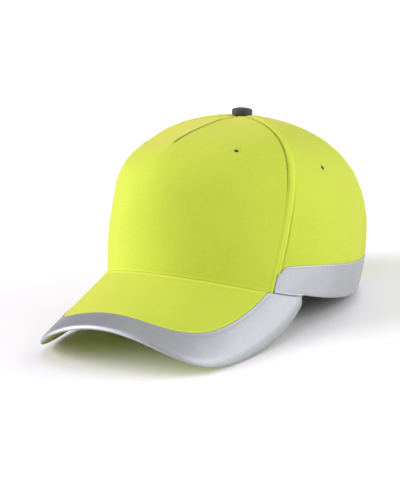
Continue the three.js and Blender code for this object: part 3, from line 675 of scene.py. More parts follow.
def lengths_along(points, axis):
    """How far each point of a grid lies along its row or its column."""
    steps = np.linalg.norm(np.diff(points, axis=axis), axis=-1)
    return np.insert(np.cumsum(steps, axis=axis), 0, 0, axis=axis)


# How far in from edges and seams the grids' lines lie, and each panel's width and height.
EDGE_STEPS = (0.35, 0.8, 1.3, 1.9, 2.6, 3.2, 3.9, 5.0, 6.5, 8.5)
FOOT_STEPS = (0.25, 0.8, 1.4, 2.2, 3.2, 4.4)
DART_STEPS = (0.35, 0.8, 1.4, 2.2, 3.2, 4.4)
BAND_STEPS = (0.3, 0.7, 1.1, 1.5, 1.9, 2.6, 3.4)
STRAP_STEPS = (0.2, 0.5, 0.9, 1.5, 2.0, 2.6)
FRONT_CLOTH = (165, 150)
SIDE_CLOTH = (115, 140)
BACK_CLOTH = (78, 130)


def grid_mesh(name, us, vs, place, keep=None, doubled=None):
    """A closed sheet: a grid carried onto place(u, v, side), side 0 outside and 1 inside."""
    us, vs = np.asarray(us, float), np.asarray(vs, float)
    columns, rows = len(us) - 1, len(vs) - 1
    bm = bmesh.new()
    bmesh.ops.create_grid(bm, x_segments=columns, y_segments=rows, size=0.5)
    uv = bm.loops.layers.uv.new("cloth")
    # This layer holds how much the cloth is lightened where it lies double, partly a painted
    # highlight, and, below 0, the painted shade of its grooves.
    doubled_light_and_groove_shade = bm.verts.layers.float.new("doubled")

    def indices(verts):
        co = np.array([v.co[:2] for v in verts])
        return np.rint((co + 0.5) * (columns, rows)).astype(int).T

    if keep:
        i, j = indices(bm.verts)
        good = keep(us[i], vs[j])
        bad = [f for f in bm.faces if not all(good[v.index] for v in f.verts)]
        bmesh.ops.delete(bm, geom=bad, context="FACES")
    lip = np.zeros((rows + 1, columns + 1), bool)
    i, j = indices([v for e in bm.edges if e.is_boundary for v in e.verts])
    lip[j, i] = True
    outer = list(bm.verts)
    made = bmesh.ops.extrude_face_region(bm, geom=bm.faces[:], use_keep_orig=True)
    inner = [g for g in made["geom"] if isinstance(g, bmesh.types.BMVert)]
    # The cloth's own map, in metres from its middle column and its foot.
    table = {}
    flat = place(*np.meshgrid(us, vs), 0.0)
    across, up = lengths_along(flat, 1), lengths_along(flat, 0)
    across -= across[:, [columns // 2]]
    for side, verts in ((1, outer), (0, inner)):
        i, j = indices(verts)
        points = place(us[i], vs[j], float(side))
        if keep:
            points = np.where(lip[j, i][:, None], round_eyelets(points), points)
        share = doubled(us[i], vs[j]) if doubled else np.zeros(len(verts))
        for v, p, a, b, c in zip(verts, placed(points), across[j, i], up[j, i], share):
            v.co = p
            v[doubled_light_and_groove_shade] = c
            table[v] = (a * MM, b * MM)
    for face in bm.faces:
        for loop in face.loops:
            loop[uv].uv = table[loop.vert]
    bmesh.ops.recalc_face_normals(bm, faces=bm.faces[:])
    return finished_mesh(name, bm)


def round_eyelets(points):
    """Draws the lip of a hole cut for an eyelet onto its circle."""
    moved = points
    for _, angle, t in eyelets():
        centre = sewn(angle, t, 0)
        away = points - centre
        far = np.linalg.norm(away, axis=-1, keepdims=True)
        moved = np.where(far < EYELET_REACH, centre + away * EYELET_HOLE / far, moved)
    return moved


def folded_mesh(name, centres, outs, tops, radii):
    """Cloth folded round an edge, with its fold away from tops and open towards them."""
    last = len(centres) - 1

    def place(u, v, side):
        k = np.rint(u * last).astype(int)
        turn = mix(-150, 150, v)[..., None] * DEG
        reach = (radii[k] - side * FOLD_THICKNESS)[..., None]
        return centres[k] + reach * (np.sin(turn) * outs[k] - np.cos(turn) * tops[k])

    return grid_mesh(name, np.linspace(0, 1, last + 1), np.linspace(0, 1, 25), place)


def sideways(centres, outs, towards):
    """Unit vectors square to a path and to outs, on the side of towards."""
    third = np.cross(outs, np.gradient(centres, axis=0))
    third /= np.linalg.norm(third, axis=1, keepdims=True)
    return third * np.sign(np.sum(third * towards, axis=1))[:, None]


def facing(normal):
    """Unit vectors across and up a surface, and its normal."""
    across = np.cross([0, 0, 1], normal)
    across /= np.linalg.norm(across)
    return across, np.cross(normal, across), normal


def into_part(bm):
    """Moves a mesh made in the cap's frame, in millimetres, to the part's frame."""
    for v in bm.verts:
        v.co = placed(np.array(v.co))


def finished_mesh(name, bm, smooth=True):
    mesh = bpy.data.meshes.new(name)
    bm.to_mesh(mesh)
    bm.free()
    mesh.polygons.foreach_set("use_smooth", [smooth] * len(mesh.polygons))
    return mesh


def piece(mesh, material, replaces=(), body="cap"):
    """An object that wears a material, stands for CAD nodes and rides on a body."""
    if not len(mesh.polygons):
        raise RuntimeError(f"{mesh.name} came out empty")
    made = bpy.data.objects.new(mesh.name, mesh)
    bpy.context.scene.collection.objects.link(made)
    made.data.materials.append(material)
    if replaces:
        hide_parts(*replaces)
    if body:
        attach(made, body)
    return made


def read_along(places, along, rows):
    """Rows of three numbers, given at lengths along a run, read at other lengths."""
    return np.stack([np.interp(places, along, column) for column in rows.T], 1)


def stitches_mesh(name, runs, pitch, width):
    """Stitches laid along runs of (points, normals), in the cap's frame and in millimetres."""
    bm = bmesh.new()
    for points, normals in runs:
        steps = np.linalg.norm(np.diff(points, axis=0), axis=1)
        along = np.concatenate([[0], np.cumsum(steps)])
        count = max(1, int(along[-1] / pitch))
        middles = (np.arange(count) + 0.5) * along[-1] / count
        out = read_along(middles, along, normals)
        at = placed(read_along(middles, along, points) - STITCH_SINK * out)
        ahead = read_along(middles + 0.3, along, points) - read_along(middles - 0.3, along, points)
        out, ahead = turned(out), turned(ahead)
        for p, n, a in zip(at, out, ahead):
            x, z = Vector(a).normalized(), Vector(n).normalized()
            y = z.cross(x).normalized()
            z = x.cross(y)
            half = pitch * STITCH_FILL / 2 * MM
            scale = Matrix.Diagonal((half, width / 2 * MM, width / 2 * MM, 1))
            basis = Matrix((x, y, z)).transposed().to_4x4()
            matrix = Matrix.Translation(p) @ basis @ scale
            bmesh.ops.create_icosphere(bm, subdivisions=1, radius=1, matrix=matrix)
    return finished_mesh(name, bm)


def crown_line(angles, ts):
    """A line on the sewn crown with its normals."""
    return sewn(angles, ts, 0 * ts), outward(crown, angles, ts)


# ---- Materials ----


class Shader:
    """Builds one procedural material node by node."""

    def __init__(self, name):
        self.material = bpy.data.materials.new(name)
        self.material.use_nodes = True
        self.tree = self.material.node_tree
        self.shader = self.tree.nodes["Principled BSDF"]

    def node(self, kind, values=None, **settings):
        made = self.tree.nodes.new(kind)
        for key, value in settings.items():
            setattr(made, key, value)
        for key, value in (values or {}).items():
            if isinstance(value, bpy.types.NodeSocket):
                self.tree.links.new(value, made.inputs[key])
            else:
                made.inputs[key].default_value = value
        return made

    def math(self, operation, a, b=0.0, c=0.0):
        return self.node("ShaderNodeMath", {0: a, 1: b, 2: c}, operation=operation).outputs[0]

    def shades(self, fac, colour, *stops):
        """A colour made darker or lighter between stops of (position, light)."""
        made = self.node("ShaderNodeValToRGB", {"Fac": fac})
        ramp = made.color_ramp
        while len(ramp.elements) < len(stops):
            ramp.elements.new(1)
        for element, (position, light) in zip(ramp.elements, stops):
            element.position = position
            element.color = linear(colour, light)
        return made.outputs["Color"]

    def mixed(self, share, a, b):
        values = {"Factor": share, "A": a, "B": b}
        return self.node("ShaderNodeMix", values, data_type="RGBA").outputs["Result"]

    def noise(self, place, scale, detail=3.0, rough=0.55, stretch=(1, 1, 1)):
        mapped = self.node("ShaderNodeMapping", {"Vector": place, "Scale": stretch})
        made = self.node(
            "ShaderNodeTexNoise",
            {"Vector": mapped.outputs[0], "Scale": scale, "Detail": detail, "Roughness": rough},
        )
        return made.outputs["Fac"]

    def object_place(self):
        return self.node("ShaderNodeTexCoord").outputs["Object"]

    def cloth_place(self):
        return self.node("ShaderNodeUVMap", uv_map="cloth").outputs["UV"]

    def set(self, **values):
        for key, value in values.items():
            name = key.replace("_", " ")
            socket = self.shader.inputs[name]
            if isinstance(value, bpy.types.NodeSocket):
                self.tree.links.new(value, socket)
            else:
                socket.default_value = value

    def relief(self, height, distance):
        values = {"Height": height, "Distance": distance, "Strength": 1.0}
        made = self.node("ShaderNodeBump", values)
        self.tree.links.new(made.outputs["Normal"], self.shader.inputs["Normal"])


def linear(colour, light=1.0):
    """An sRGB colour as linear light."""
    out = [((c + 0.055) / 1.055) ** 2.4 if c > 0.04045 else c / 12.92 for c in colour]
    return (*[min(1.0, c * light) for c in out], 1.0)


def weave(shader, place, pitch):
    """Height of a plain weave, -1 to 1, of threads a pitch apart on the cloth's own map."""
    parts = shader.node("ShaderNodeSeparateXYZ", {0: place})
    turn = 2 * math.pi / pitch
    u = shader.math("SINE", shader.math("MULTIPLY", parts.outputs[0], turn))
    v = shader.math("SINE", shader.math("MULTIPLY", parts.outputs[1], turn))
    return shader.math("MULTIPLY", u, v)


# Thread pitch, contrast, roughness, sheen and height of the threads.
TOWELLING = (0.0016, 0.18, 0.95, 0.2, 0.0003)
TAPE_WEAVE = (0.0008, 0.12, 0.9, 0.2)
STIFF_WEAVE = (0.0018, 0.2, 0.9, 0.1)


def cloth_finish(name, colour, pitch, contrast=0.035, roughness=0.85, sheen=0.35, depth=0.00006):
    """Woven cloth: threads, slubs along both ways, slow shade variation and soft sheen."""
    s = Shader(name)
    place = s.cloth_place()
    crossed = weave(s, place, pitch)
    along = s.noise(place, 1100, 2.0, 0.6, (0.1, 1, 1))
    across = s.noise(place, 1100, 2.0, 0.6, (1, 0.1, 1))
    threads = s.math("MULTIPLY", s.math("ADD", along, across), 0.5)
    slow = s.noise(s.object_place(), 26, 2.0)
    shade = s.math("MULTIPLY_ADD", crossed, 0.03, threads)
    shade = s.math("MULTIPLY_ADD", slow, 0.35, shade)
    dark, light = 1 - contrast * 2.2, 1 + contrast * 1.6
    tint = s.shades(shade, colour, (0.4, dark), (0.67, 1.0), (0.95, light))
    # Where the cloth lies double it is lightened, partly as thicker cloth and partly as a painted
    # highlight on the seam ridges. Below 0 the attribute stands for the grooves, darkened with
    # painted shade.
    doubled_light_and_groove_shade = s.node("ShaderNodeAttribute", attribute_name="doubled").outputs["Fac"]
    tint = s.mixed(doubled_light_and_groove_shade, tint, linear(colour, 1.12))
    # Painted shade in the grooves: the cloth's own colour darkened.
    groove = [share * c for share, c in zip((0.5, 0.6, 0.4), colour)]
    tint = s.mixed(s.math("MULTIPLY", doubled_light_and_groove_shade, -1), tint, linear(groove))
    s.set(Base_Color=tint, Roughness=roughness, Sheen_Weight=sheen, Sheen_Roughness=0.5)
    s.set(Sheen_Tint=(1.0, 0.6, 0.3, 1.0), Specular_IOR_Level=0.2)
    s.relief(s.math("MULTIPLY_ADD", crossed, 0.2, threads), depth)
    return s.material


def reflective_finish(name, colour):
    """Glass-bead cloth: fine grain over a satin, slightly metallic face."""
    s = Shader(name)
    place = s.object_place()
    beads = s.noise(place, 1900, 2.0, 0.7)
    cloud = s.noise(place, 55, 4.0, 0.6)
    weft = s.noise(s.cloth_place(), 700, 2.0, 0.6, (1, 0.2, 1))
    shade = s.math("ADD", s.math("MULTIPLY", beads, 0.3), s.math("MULTIPLY", cloud, 0.4))
    shade = s.math("ADD", shade, s.math("MULTIPLY", weft, 0.3))
    tint = s.shades(shade, colour, (0.3, 0.86), (0.52, 1.0), (0.75, 1.1))
    rough = s.math("MULTIPLY_ADD", cloud, 0.12, 0.46)
    s.set(Base_Color=tint, Roughness=rough, Metallic=0.7)
    s.relief(s.math("ADD", s.math("MULTIPLY", beads, 0.6), weft), 0.00005)
    return s.material


def thread_finish(name, colour):
    s = Shader(name)
    twist = s.noise(s.object_place(), 2600, 1.0)
    tint = s.shades(twist, colour, (0.35, 0.82), (0.65, 1.08))
    s.set(Base_Color=tint, Roughness=0.6, Sheen_Weight=0.3)
    s.relief(twist, 0.00004)
    return s.material


def moulded_finish(name, colour, roughness):
    s = Shader(name)
    grain = s.noise(s.object_place(), 1100, 3.0, 0.6)
    cloud = s.noise(s.object_place(), 30, 2.0)
    tint = s.shades(cloud, colour, (0.3, 0.92), (0.7, 1.08))
    rough = s.math("MULTIPLY_ADD", grain, 0.15, roughness - 0.07)
    s.set(Base_Color=tint, Roughness=rough)
    s.relief(grain, 0.00004)
    return s.material


def foam_finish(name, colour):
    """Foam with a brushed cloth face."""
    s = Shader(name)
    place = s.object_place()
    pile = s.noise(place, 1500, 3.0, 0.7)
    nap = s.noise(place, 90, 3.0)
    shade = s.math("ADD", s.math("MULTIPLY", pile, 0.55), s.math("MULTIPLY", nap, 0.45))
    tint = s.shades(shade, colour, (0.35, 0.75), (0.65, 1.25))
    s.set(Base_Color=tint, Roughness=0.95, Sheen_Weight=0.4, Sheen_Roughness=0.6)
    s.relief(shade, 0.00012)
    return s.material


def fastener_finish(name, colour, loops):
    """Hook or loop tape: a bed of small hooks in rows, or a matted pile."""
    s = Shader(name)
    place = s.cloth_place()
    if loops:
        height = s.noise(place, 1400, 3.0, 0.75)
    else:
        height = s.math("MULTIPLY_ADD", weave(s, place, 0.0016), 0.5, 0.5)
    tint = s.shades(height, colour, (0.3, 0.6), (0.7, 1.3))
    s.set(Base_Color=tint, Roughness=0.9, Sheen_Weight=0.3)
    s.relief(height, 0.00025)
    return s.material


def metal_finish(name, colour):
    s = Shader(name)
    marks = s.noise(s.object_place(), 500, 2.0, 0.5, (1, 8, 1))
    rough = s.math("MULTIPLY_ADD", marks, 0.2, 0.25)
    tint = s.shades(marks, colour, (0.3, 0.9), (0.7, 1.05))
    s.set(Base_Color=tint, Roughness=rough, Metallic=1.0)
    return s.material


def button_finish(name, colour):
    """Dark cloth pulled tight over a blank: a fine weave on a soft satin."""
    s = Shader(name)
    place = s.cloth_place()
    crossed = weave(s, place, 0.0009)
    shade = s.math("MULTIPLY_ADD", crossed, 0.1, s.noise(s.object_place(), 160, 3.0))
    tint = s.shades(shade, colour, (0.25, 0.75), (0.75, 1.3))
    s.set(Base_Color=tint, Roughness=0.7, Sheen_Weight=0.04, Specular_IOR_Level=0.25)
    s.relief(crossed, 0.00006)
    return s.material


# ---- Settings ----


def colour_setting(name, description, default):
    limits = {"size": 3, "min": 0, "max": 1, "subtype": "COLOR_GAMMA"}
    return bpy.props.FloatVectorProperty(
        name=name, description=description, default=default, **limits
    )


def length_setting(name, description, default):
    return bpy.props.FloatProperty(
        name=name, description=description, default=default, min=0, unit="LENGTH", precision=5
    )


def strength_setting(name, description, default):
    return bpy.props.FloatProperty(name=name, description=description, default=default, min=0)


class CapColours(bpy.types.PropertyGroup):
    cloth: colour_setting("Cloth", "High-visibility cloth of crown and peak", (0.73, 0.80, 0.243))
    reflective: colour_setting("Reflective", "Glass-bead reflective cloth", (0.70, 0.713, 0.722))
    button: colour_setting("Button", "Cloth over the top button", (0.26, 0.265, 0.25))
    lining: colour_setting("Lining", "Sweatband and fasteners", (0.24, 0.25, 0.26))
    tape: colour_setting("Tape", "Woven tape behind the seams", (0.79, 0.84, 0.35))
    stiffener: colour_setting("Stiffener", "Stiffened weave behind the front", (0.91, 0.90, 0.87))
    shell: colour_setting("Shell", "Moulded protective shell", (0.17, 0.18, 0.19))
    foam: colour_setting("Foam", "Pads inside the shell", (0.23, 0.24, 0.25))
    board: colour_setting("Board", "Board inside the peak", (0.89, 0.89, 0.88))
    metal: colour_setting("Metal", "Washer under the button", (0.72, 0.74, 0.75))


class CapSewing(bpy.types.PropertyGroup):
    thread_pitch: length_setting("Thread pitch", "Spacing of the crown cloth's threads", 0.0006)
    stitch_pitch: length_setting("Stitch pitch", "Length of one stitch and its gap", 0.003)
    stitch_width: length_setting("Stitch width", "Thickness of the sewing thread", 0.00042)
    edge_margin: length_setting("Edge margin", "Distance from an edge to its stitching", 0.0018)


class CapStage(bpy.types.PropertyGroup):
    key: strength_setting("Key", "Lamp on the right side", 3.7)
    side: strength_setting("Side", "Lamp on the left side", 1.75)
    back: strength_setting("Back", "Lamp behind", 1.05)
    top: strength_setting("Top", "Overhead lamp", 0.5)
    world: strength_setting("World", "Even light from all round", 0.25)


def colours():
    return bpy.context.scene.cap_colours


def sewing():
    return bpy.context.scene.cap_sewing


def shared(name, make):
    """A material made once and worn by several pieces."""
    return bpy.data.materials.get(name) or make(name)


def cloth():
    pitch = sewing().thread_pitch
    return shared("hi_vis_cloth", lambda n: cloth_finish(n, colours().cloth, pitch))


def reflective():
    return shared("reflective_cloth", lambda n: reflective_finish(n, colours().reflective))


def lining():
    return shared("dark_towelling", lambda n: cloth_finish(n, colours().lining, *TOWELLING))


def yellow_thread():
    return shared("yellow_thread", lambda n: thread_finish(n, (0.80, 0.85, 0.33)))


def grey_thread():
    return shared("grey_thread", lambda n: thread_finish(n, (0.74, 0.75, 0.78)))


def sew(name, runs, thread):
    """Adds stitches of the sizes in the settings along runs."""
    pitch, width = sewing().stitch_pitch / MM, sewing().stitch_width / MM
    piece(stitches_mesh(name, runs, pitch, width), thread)


# ---- Crown ----


def foot(angle):
    """Lowest t of a panel: 0 above the peak, above the hem behind it."""
    a = np.abs(angle)
    behind = ease((a - SPREAD) / SEAM_STEP)
    return behind * at_rise(angle, PANEL_RISE)


def panel_t(angle, v):
    """The t of a panel's row, from its foot to the hole below the button."""
    return mix(foot(angle), at_radius(angle, TOP_HOLE_RADIUS), v)


def tucked(points, angle, v):
    """Points moved down at a piece's foot, where that is behind the peak."""
    points[..., 2] -= np.where((v == 0) & (np.abs(angle) < SPREAD), PEAK_TUCK, 0)
    return points


def wall(angle, v, depth):
    """A front or side panel's surface."""
    return tucked(sewn(angle, panel_t(angle, v), depth), angle, v)


def half_seam(angle, t):
    """Half of the gap at a seam, as an angle."""
    return SEAM_HALF_GAP / span(angle, np.minimum(t, LAST_T))


def between(low_seam, high_seam, side, u, v):
    """The angle in a panel between two seams, half of the gap away from each."""
    t = v * TOP_T
    low, high = low_seam(t), high_seam(t)
    return side * mix(low + half_seam(low, t), high - half_seam(high, t), np.abs(u))


def panel_rows(length):
    """Rows up a panel, closer together near its foot and its top."""
    low = np.array([0, *FOOT_STEPS]) / length
    high = 1 - np.array([3.0, 1.8, 0.8, 0]) / length
    middle = np.linspace(low[-1], high[0], round(length / CLOTH_PITCH))
    return np.unique(np.concatenate([low, middle, high]))


def crown_mesh(name, us, vs, place, where):
    """A crown panel with holes for its eyelets."""

    def keep(u, v):
        return eyelet_distance(*where(u, v)) > EYELET_HOLE

    # Lightening where the cloth lies double, partly a painted highlight, and painted shade in the
    # grooves.
    def doubled(u, v):
        return doubled_cloth_and_groove_shade(*where(u, v))

    return grid_mesh(name, us, vs, place, keep, doubled)


def front_panel():
    def where(u, v):
        t = v * TOP_T
        edge = front_seam(t) - half_seam(front_seam(t), t)
        angle = u * edge
        return angle, mix(0, at_radius(angle, TOP_HOLE_RADIUS), v)

    def place(u, v, side):
        return wall(where(u, v)[0], v, side * PANEL_THICKNESS)

    width, height = FRONT_CLOTH
    us = 2 * spaced(width, CLOTH_PITCH, EDGE_STEPS) - 1
    middle = np.array(DART_STEPS) / 82
    us = np.unique(np.concatenate([us[np.abs(us) > 0.07], middle, -middle, [0]]))
    return crown_mesh("front_cloth", us, panel_rows(height), place, where)


def side_panel(word, side):
    def where(u, v):
        angle = between(front_seam, back_seam, side, u, v)
        return angle, panel_t(angle, v)

    def place(u, v, face):
        return wall(where(u, v)[0], v, face * PANEL_THICKNESS)

    width, height = SIDE_CLOTH
    us = np.sort(side * spaced(width, CLOTH_PITCH, EDGE_STEPS))
    return crown_mesh(f"side_cloth_{word}", us, panel_rows(height), place, where)


def arch_line():
    """Outline of the arched opening, as distance across and height."""
    half, low = ARCH_HALF_WIDTH, ARCH_SIDE_HEIGHT
    tall = ARCH_HEIGHT - ARCH_SIDE_HEIGHT
    turn = np.linspace(0, math.pi, 90)
    x = np.concatenate([[half, half], half * np.cos(turn), [-half, -half]])
    z = np.concatenate([[0, low / 2], low + tall * np.sin(turn), [low / 2, 0]])
    return x, z


def arch_lift(x):
    """Height of the cut for the arch at a distance across."""
    half = ARCH_HALF_WIDTH + ARCH_MARGIN
    tall = ARCH_HEIGHT - ARCH_SIDE_HEIGHT + ARCH_MARGIN
    inside = np.abs(x) < half
    root = np.sqrt(np.maximum(1 - (x / half) ** 2, 0))
    return np.where(inside, ARCH_SIDE_HEIGHT + tall * root, -1e3)


def back_panel(word, side):
    """A back panel whose foot follows the bound arch."""

    def foot_t(angle):
        def above_arch(t):
            p = crown(angle, t)
            return p[..., 2] - arch_lift(p[..., 0])

        low = solve(above_arch, angle.shape)
        crossing = np.where(low < 0.001, 0, low)
        return np.maximum(crossing, at_rise(angle, PANEL_RISE))

    def where(u, v):
        angle = between(back_seam, centre_seam, side, u, v)
        return angle, mix(foot_t(angle), at_radius(angle, TOP_HOLE_RADIUS), v)

    def place(u, v, face):
        angle, t = where(u, v)
        return sewn(angle, t, face * PANEL_THICKNESS)

    width, height = BACK_CLOTH
    us = np.sort(side * spaced(width, 1.7, EDGE_STEPS))
    return crown_mesh(f"back_cloth_{word}", us, panel_rows(height), place, where)


class CAP_OT_crown(bpy.types.Operator):
    """Front, side and back panels of the crown, shaped by their seams"""

    bl_idname = "cap.crown"
    bl_label = "Crown panels"

    def execute(self, context):
        front = piece(front_panel(), cloth(), ["front_panel"])
        for word, side in SIDES:
            mesh = side_panel(word, side)
            made = piece(mesh, cloth(), [f"side_panel_{word}"])
            mesh = back_panel(word, side)
            made = piece(mesh, cloth(), [f"back_panel_{word}"])
        return {"FINISHED"}


class CAP_OT_crown_stitching(bpy.types.Operator):
    """Twin rows of topstitching along the seams and the dart"""

    bl_idname = "cap.crown_stitching"
    bl_label = "Crown stitching"

    def execute(self, context):
        runs = []
        down = np.linspace(CREASE_TOP_T, 0.95, 70)
        for _, side in SIDES:
            for offset in (-FELL, FELL):
                low = 0.5 if offset < 0 else band_top(front_seam(0.0), offset) + 1
                runs.append(self.beside(front_seam, side, offset, low))
                runs.append(self.beside(back_seam, side, offset, BAND_WIDTH + 1))
            runs.append(self.beside(centre_seam, side, -FELL, ARCH_HEIGHT + 4))
            runs.append(crown_line(side * DART_REACH / span(0 * down, down), down))
        sew("crown_stitching", runs, yellow_thread())
        return {"FINISHED"}

    def beside(self, seam, side, offset, low):
        """A run at a distance from a seam, from a height above the rim line to near the top."""
        ts = np.linspace(0.012, 0.93, 160)
        ts = ts[ts > at_rise(seam(0.0), low)]
        return crown_line(side * (seam(ts) + offset / span(seam(ts), ts)), ts)


# ---- Linings behind the panels ----


def behind_crown(name, columns, rows, where):
    """A thin sheet behind the panels."""

    def place(u, v, side):
        angle, t = where(u, v)
        return inset(crown, angle, t, TAPE_DEPTH + flatness(angle, t) + side * TAPE_THICKNESS)

    return grid_mesh(name, np.linspace(-1, 1, columns), np.linspace(0, 1, rows), place)


def seam_tape(name, seam, side, start, rows):
    """A tape behind a seam, from a place on it up to beside the button."""
    top = float(at_radius(seam(1.0), TAPE_TOP_RADIUS))

    def where(u, v):
        t = mix(start, top, v)
        return side * seam(t) + u * TAPE_HALF_WIDTH / span(seam(t), t), t

    return behind_crown(name, 7, rows, where)


class CAP_OT_linings(bpy.types.Operator):
    """Woven tapes behind the seams and the dart, and the stiffener behind the front"""

    bl_idname = "cap.linings"
    bl_label = "Tapes and stiffener"

    def execute(self, context):
        tape = shared("woven_tape", lambda n: cloth_finish(n, colours().tape, *TAPE_WEAVE))

        def rise(seam, height):
            return float(at_rise(seam(0.0), height))

        # Place, side's ending, seam, side, lowest t, rows and length.
        tapes = [
            ("centre_back", "", centre_seam, 1, rise(centre_seam, ARCH_HEIGHT + 2), 60, 0.13),
            ("dart", "", dart_line, 1, CREASE_TOP_T, 40, 0.078),
        ]
        seams = (("front_seam", front_seam, 0.143), ("back_seam", back_seam, 0.156))
        for word, side in SIDES:
            for place, seam, length in seams:
                tapes.append((place, f"_{word}", seam, side, rise(seam, 3), 60, length))
        for place, ending, seam, side, start, rows, length in tapes:
            mesh = seam_tape(f"{place}_lining{ending}", seam, side, start, rows)
            made = piece(mesh, tape, [f"{place}_tape{ending}"])

        def on_front(u, v):
            t = at_rise(0 * u, mix(*STIFFENER_RISE, v))
            edge = front_seam(t) - STIFFENER_MARGIN / span(front_seam(t), t)
            return u * edge, t

        look = (colours().stiffener, *STIFF_WEAVE)
        stiff = shared("stiffened_weave", lambda n: cloth_finish(n, *look))
        mesh = behind_crown("front_lining", 60, 24, on_front)
        made = piece(mesh, stiff, ["front_stiffener"])
        return {"FINISHED"}


class CAP_OT_sweatband(bpy.types.Operator):
    """Soft band sewn round the inside of the rim"""

    bl_idname = "cap.sweatband"
    bl_label = "Sweatband"

    def execute(self, context):
        end = float(back_angle(ARCH_HALF_WIDTH + 2.0 * BINDING_RADIUS))

        def place(u, v, side):
            angle = u * end
            t = at_rise(angle, mix(0.6, SWEATBAND_WIDTH, v))
            edge = np.minimum(v, 1 - v) * SWEATBAND_WIDTH
            puff = mix(0.35, 1, ease(edge / 3)) * (1 + form(edge, *SWEATBAND_STITCHES))
            wave = wavy(np.abs(u) * SWEATBAND_HALF_LENGTH + 7, *SWEATBAND_WAVE) * puff
            depth = SWEATBAND_DEPTH + mix(0.05, SWEATBAND_PUFF * puff + wave, side)
            return tucked(inset(crown, angle, t, depth), angle, v)

        us = np.linspace(-1, 1, 241)
        vs = np.unique(np.concatenate([np.linspace(0, 1, 21), [0.01, 0.03, 0.97, 0.99]]))
        mesh = grid_mesh("sweat_towelling", us, vs, place)
        made = piece(mesh, lining(), ["sweatband"])
        return {"FINISHED"}


# ---- Reflective band and hem ----


BAND_END = float(back_angle(ARCH_HALF_WIDTH + BINDING_RADIUS + 0.3))


def band_height_on(angle, t, rise, low, top):
    """How far the band stands out: flat, with turned-in edges and the seams below it."""
    across = span(angle, t)
    a = np.abs(angle)
    from_seam = (a - front_seam(t)) * across
    lift = BAND_LIFT + form(from_seam, *BAND_SEAM_RIDGE) + form(from_seam, *BAND_SEAM_GROOVE)
    behind = (a - BACK_SEAM) * across
    lift = lift + form(np.abs(behind), *BAND_OVER_SEAM) + form(behind, *BAND_OVER_JOIN)
    edge = np.minimum(top - rise, rise - low + BAND_BELOW)
    lift = lift + form(edge, *BAND_EDGE_ROLL) + form(edge, *BAND_EDGE_GROOVE)
    lift = lift + wavy(a * RIM_RADIUS, *BAND_WAVE) * ease(edge / 4)
    return lift * mix(0.5, 1, ease(edge / 0.6)) * mix(0.35, 1, ease(from_seam / 0.7))


def behind_peak(angle):
    """From 0 above the peak to 1 behind it."""
    return ease((np.abs(angle) - SPREAD + SEAM_STEP) / (2 * SEAM_STEP))


def band_place(side):
    def start(t):
        return front_seam(t) + half_seam(front_seam(t), t)

    def where(u, v):
        foot_angle = mix(start(0.0), BAND_END, np.abs(u))
        along = (foot_angle - start(0.0)) * RIM_HALF_WIDTH
        top = band_top(foot_angle, along)
        low = mix(*BAND_FOOT, behind_peak(foot_angle))
        rise = mix(low, top, v)
        t = at_rise(foot_angle, rise)
        return side * mix(start(t), BAND_END, np.abs(u)), t, rise, low, top

    def place(u, v, face):
        angle, t, rise, low, top = where(u, v)
        lift = band_height_on(angle, t, rise, low, top)
        return inset(crown, angle, t, -lift + face * np.minimum(BAND_THICKNESS, lift - BAND_CLEAR))

    return where, place


def band_run(where, u, v):
    """A line on the band's face with its normals."""
    angle, t, *edges = where(u, v)
    lift = band_height_on(angle, t, *edges)
    return inset(crown, angle, t, -lift), outward(crown, angle, t)


class CAP_OT_bands(bpy.types.Operator):
    """Reflective band round the sides, with its stitching"""

    bl_idname = "cap.bands"
    bl_label = "Reflective bands"

    def execute(self, context):
        runs = []
        margin = sewing().edge_margin / MM
        for word, side in SIDES:
            where, place = band_place(side)
            us = np.sort(side * spaced(BAND_LENGTH, 1.5, EDGE_STEPS))
            vs = spaced(21, 1.4, BAND_STEPS)
            mesh = grid_mesh(f"band_{word}", us, vs, place)
            nodes, rests = [f"reflective_band_{word}"], [f"side_panel_{word}"]
            made = piece(mesh, reflective(), nodes)
            u = side * np.linspace(0.03, 0.99, 90)
            low, top = where(u, 0 * u)[3:]
            runs.append(band_run(where, u, 1 - margin / (top - low)))
            v = np.linspace(0.12, 0.9, 20)
            runs.append(band_run(where, side * (BAND_END_STITCHES / BAND_LENGTH + 0 * v), v))
        sew("band_stitching", runs, grey_thread())
        return {"FINISHED"}


# The hem's radius, and its middle's depth and height past a radius above the rim line.
HEM_BY_PEAK = (0.95, -0.3, -0.7)
HEM_BEHIND = (HEM_RADIUS - 0.05, 0.35, 0.05)


class CAP_OT_hems(bpy.types.Operator):
    """Folded hem of the band along the rim"""

    bl_idname = "cap.hems"
    bl_label = "Rim hems"

    def execute(self, context):
        end = float(back_angle(ARCH_HALF_WIDTH + 2.0 * BINDING_RADIUS + 0.3))
        start = float(front_seam(0.0))
        for word, side in SIDES:
            angles = side * np.linspace(start + 0.004, end, 150)
            behind = behind_peak(angles)
            radii, depth, lift = (mix(a, b, behind) for a, b in zip(HEM_BY_PEAK, HEM_BEHIND))
            centres = inset(crown, angles, 0 * angles, depth)
            centres[:, 2] = rim_height(angles) + radii + lift
            outs = outward(crown, angles, 0 * angles)
            tops = sideways(centres, outs, np.array([0, 0, 1]))
            mesh = folded_mesh(f"hem_{word}", centres, outs, tops, radii)
            flatten(mesh)
            made = piece(mesh, reflective(), [f"rim_hem_{word}"])
        return {"FINISHED"}


def flatten(mesh):
    """Keeps a mesh above the resting plane, where it is pressed flat."""
    for v in mesh.vertices:
        v.co.z = max(v.co.z, 0.0)


# ---- Peak ----


PEAK_US = np.unique(np.concatenate([np.linspace(-1, 1, 181), [-0.995, 0.995, -0.985, 0.985]]))


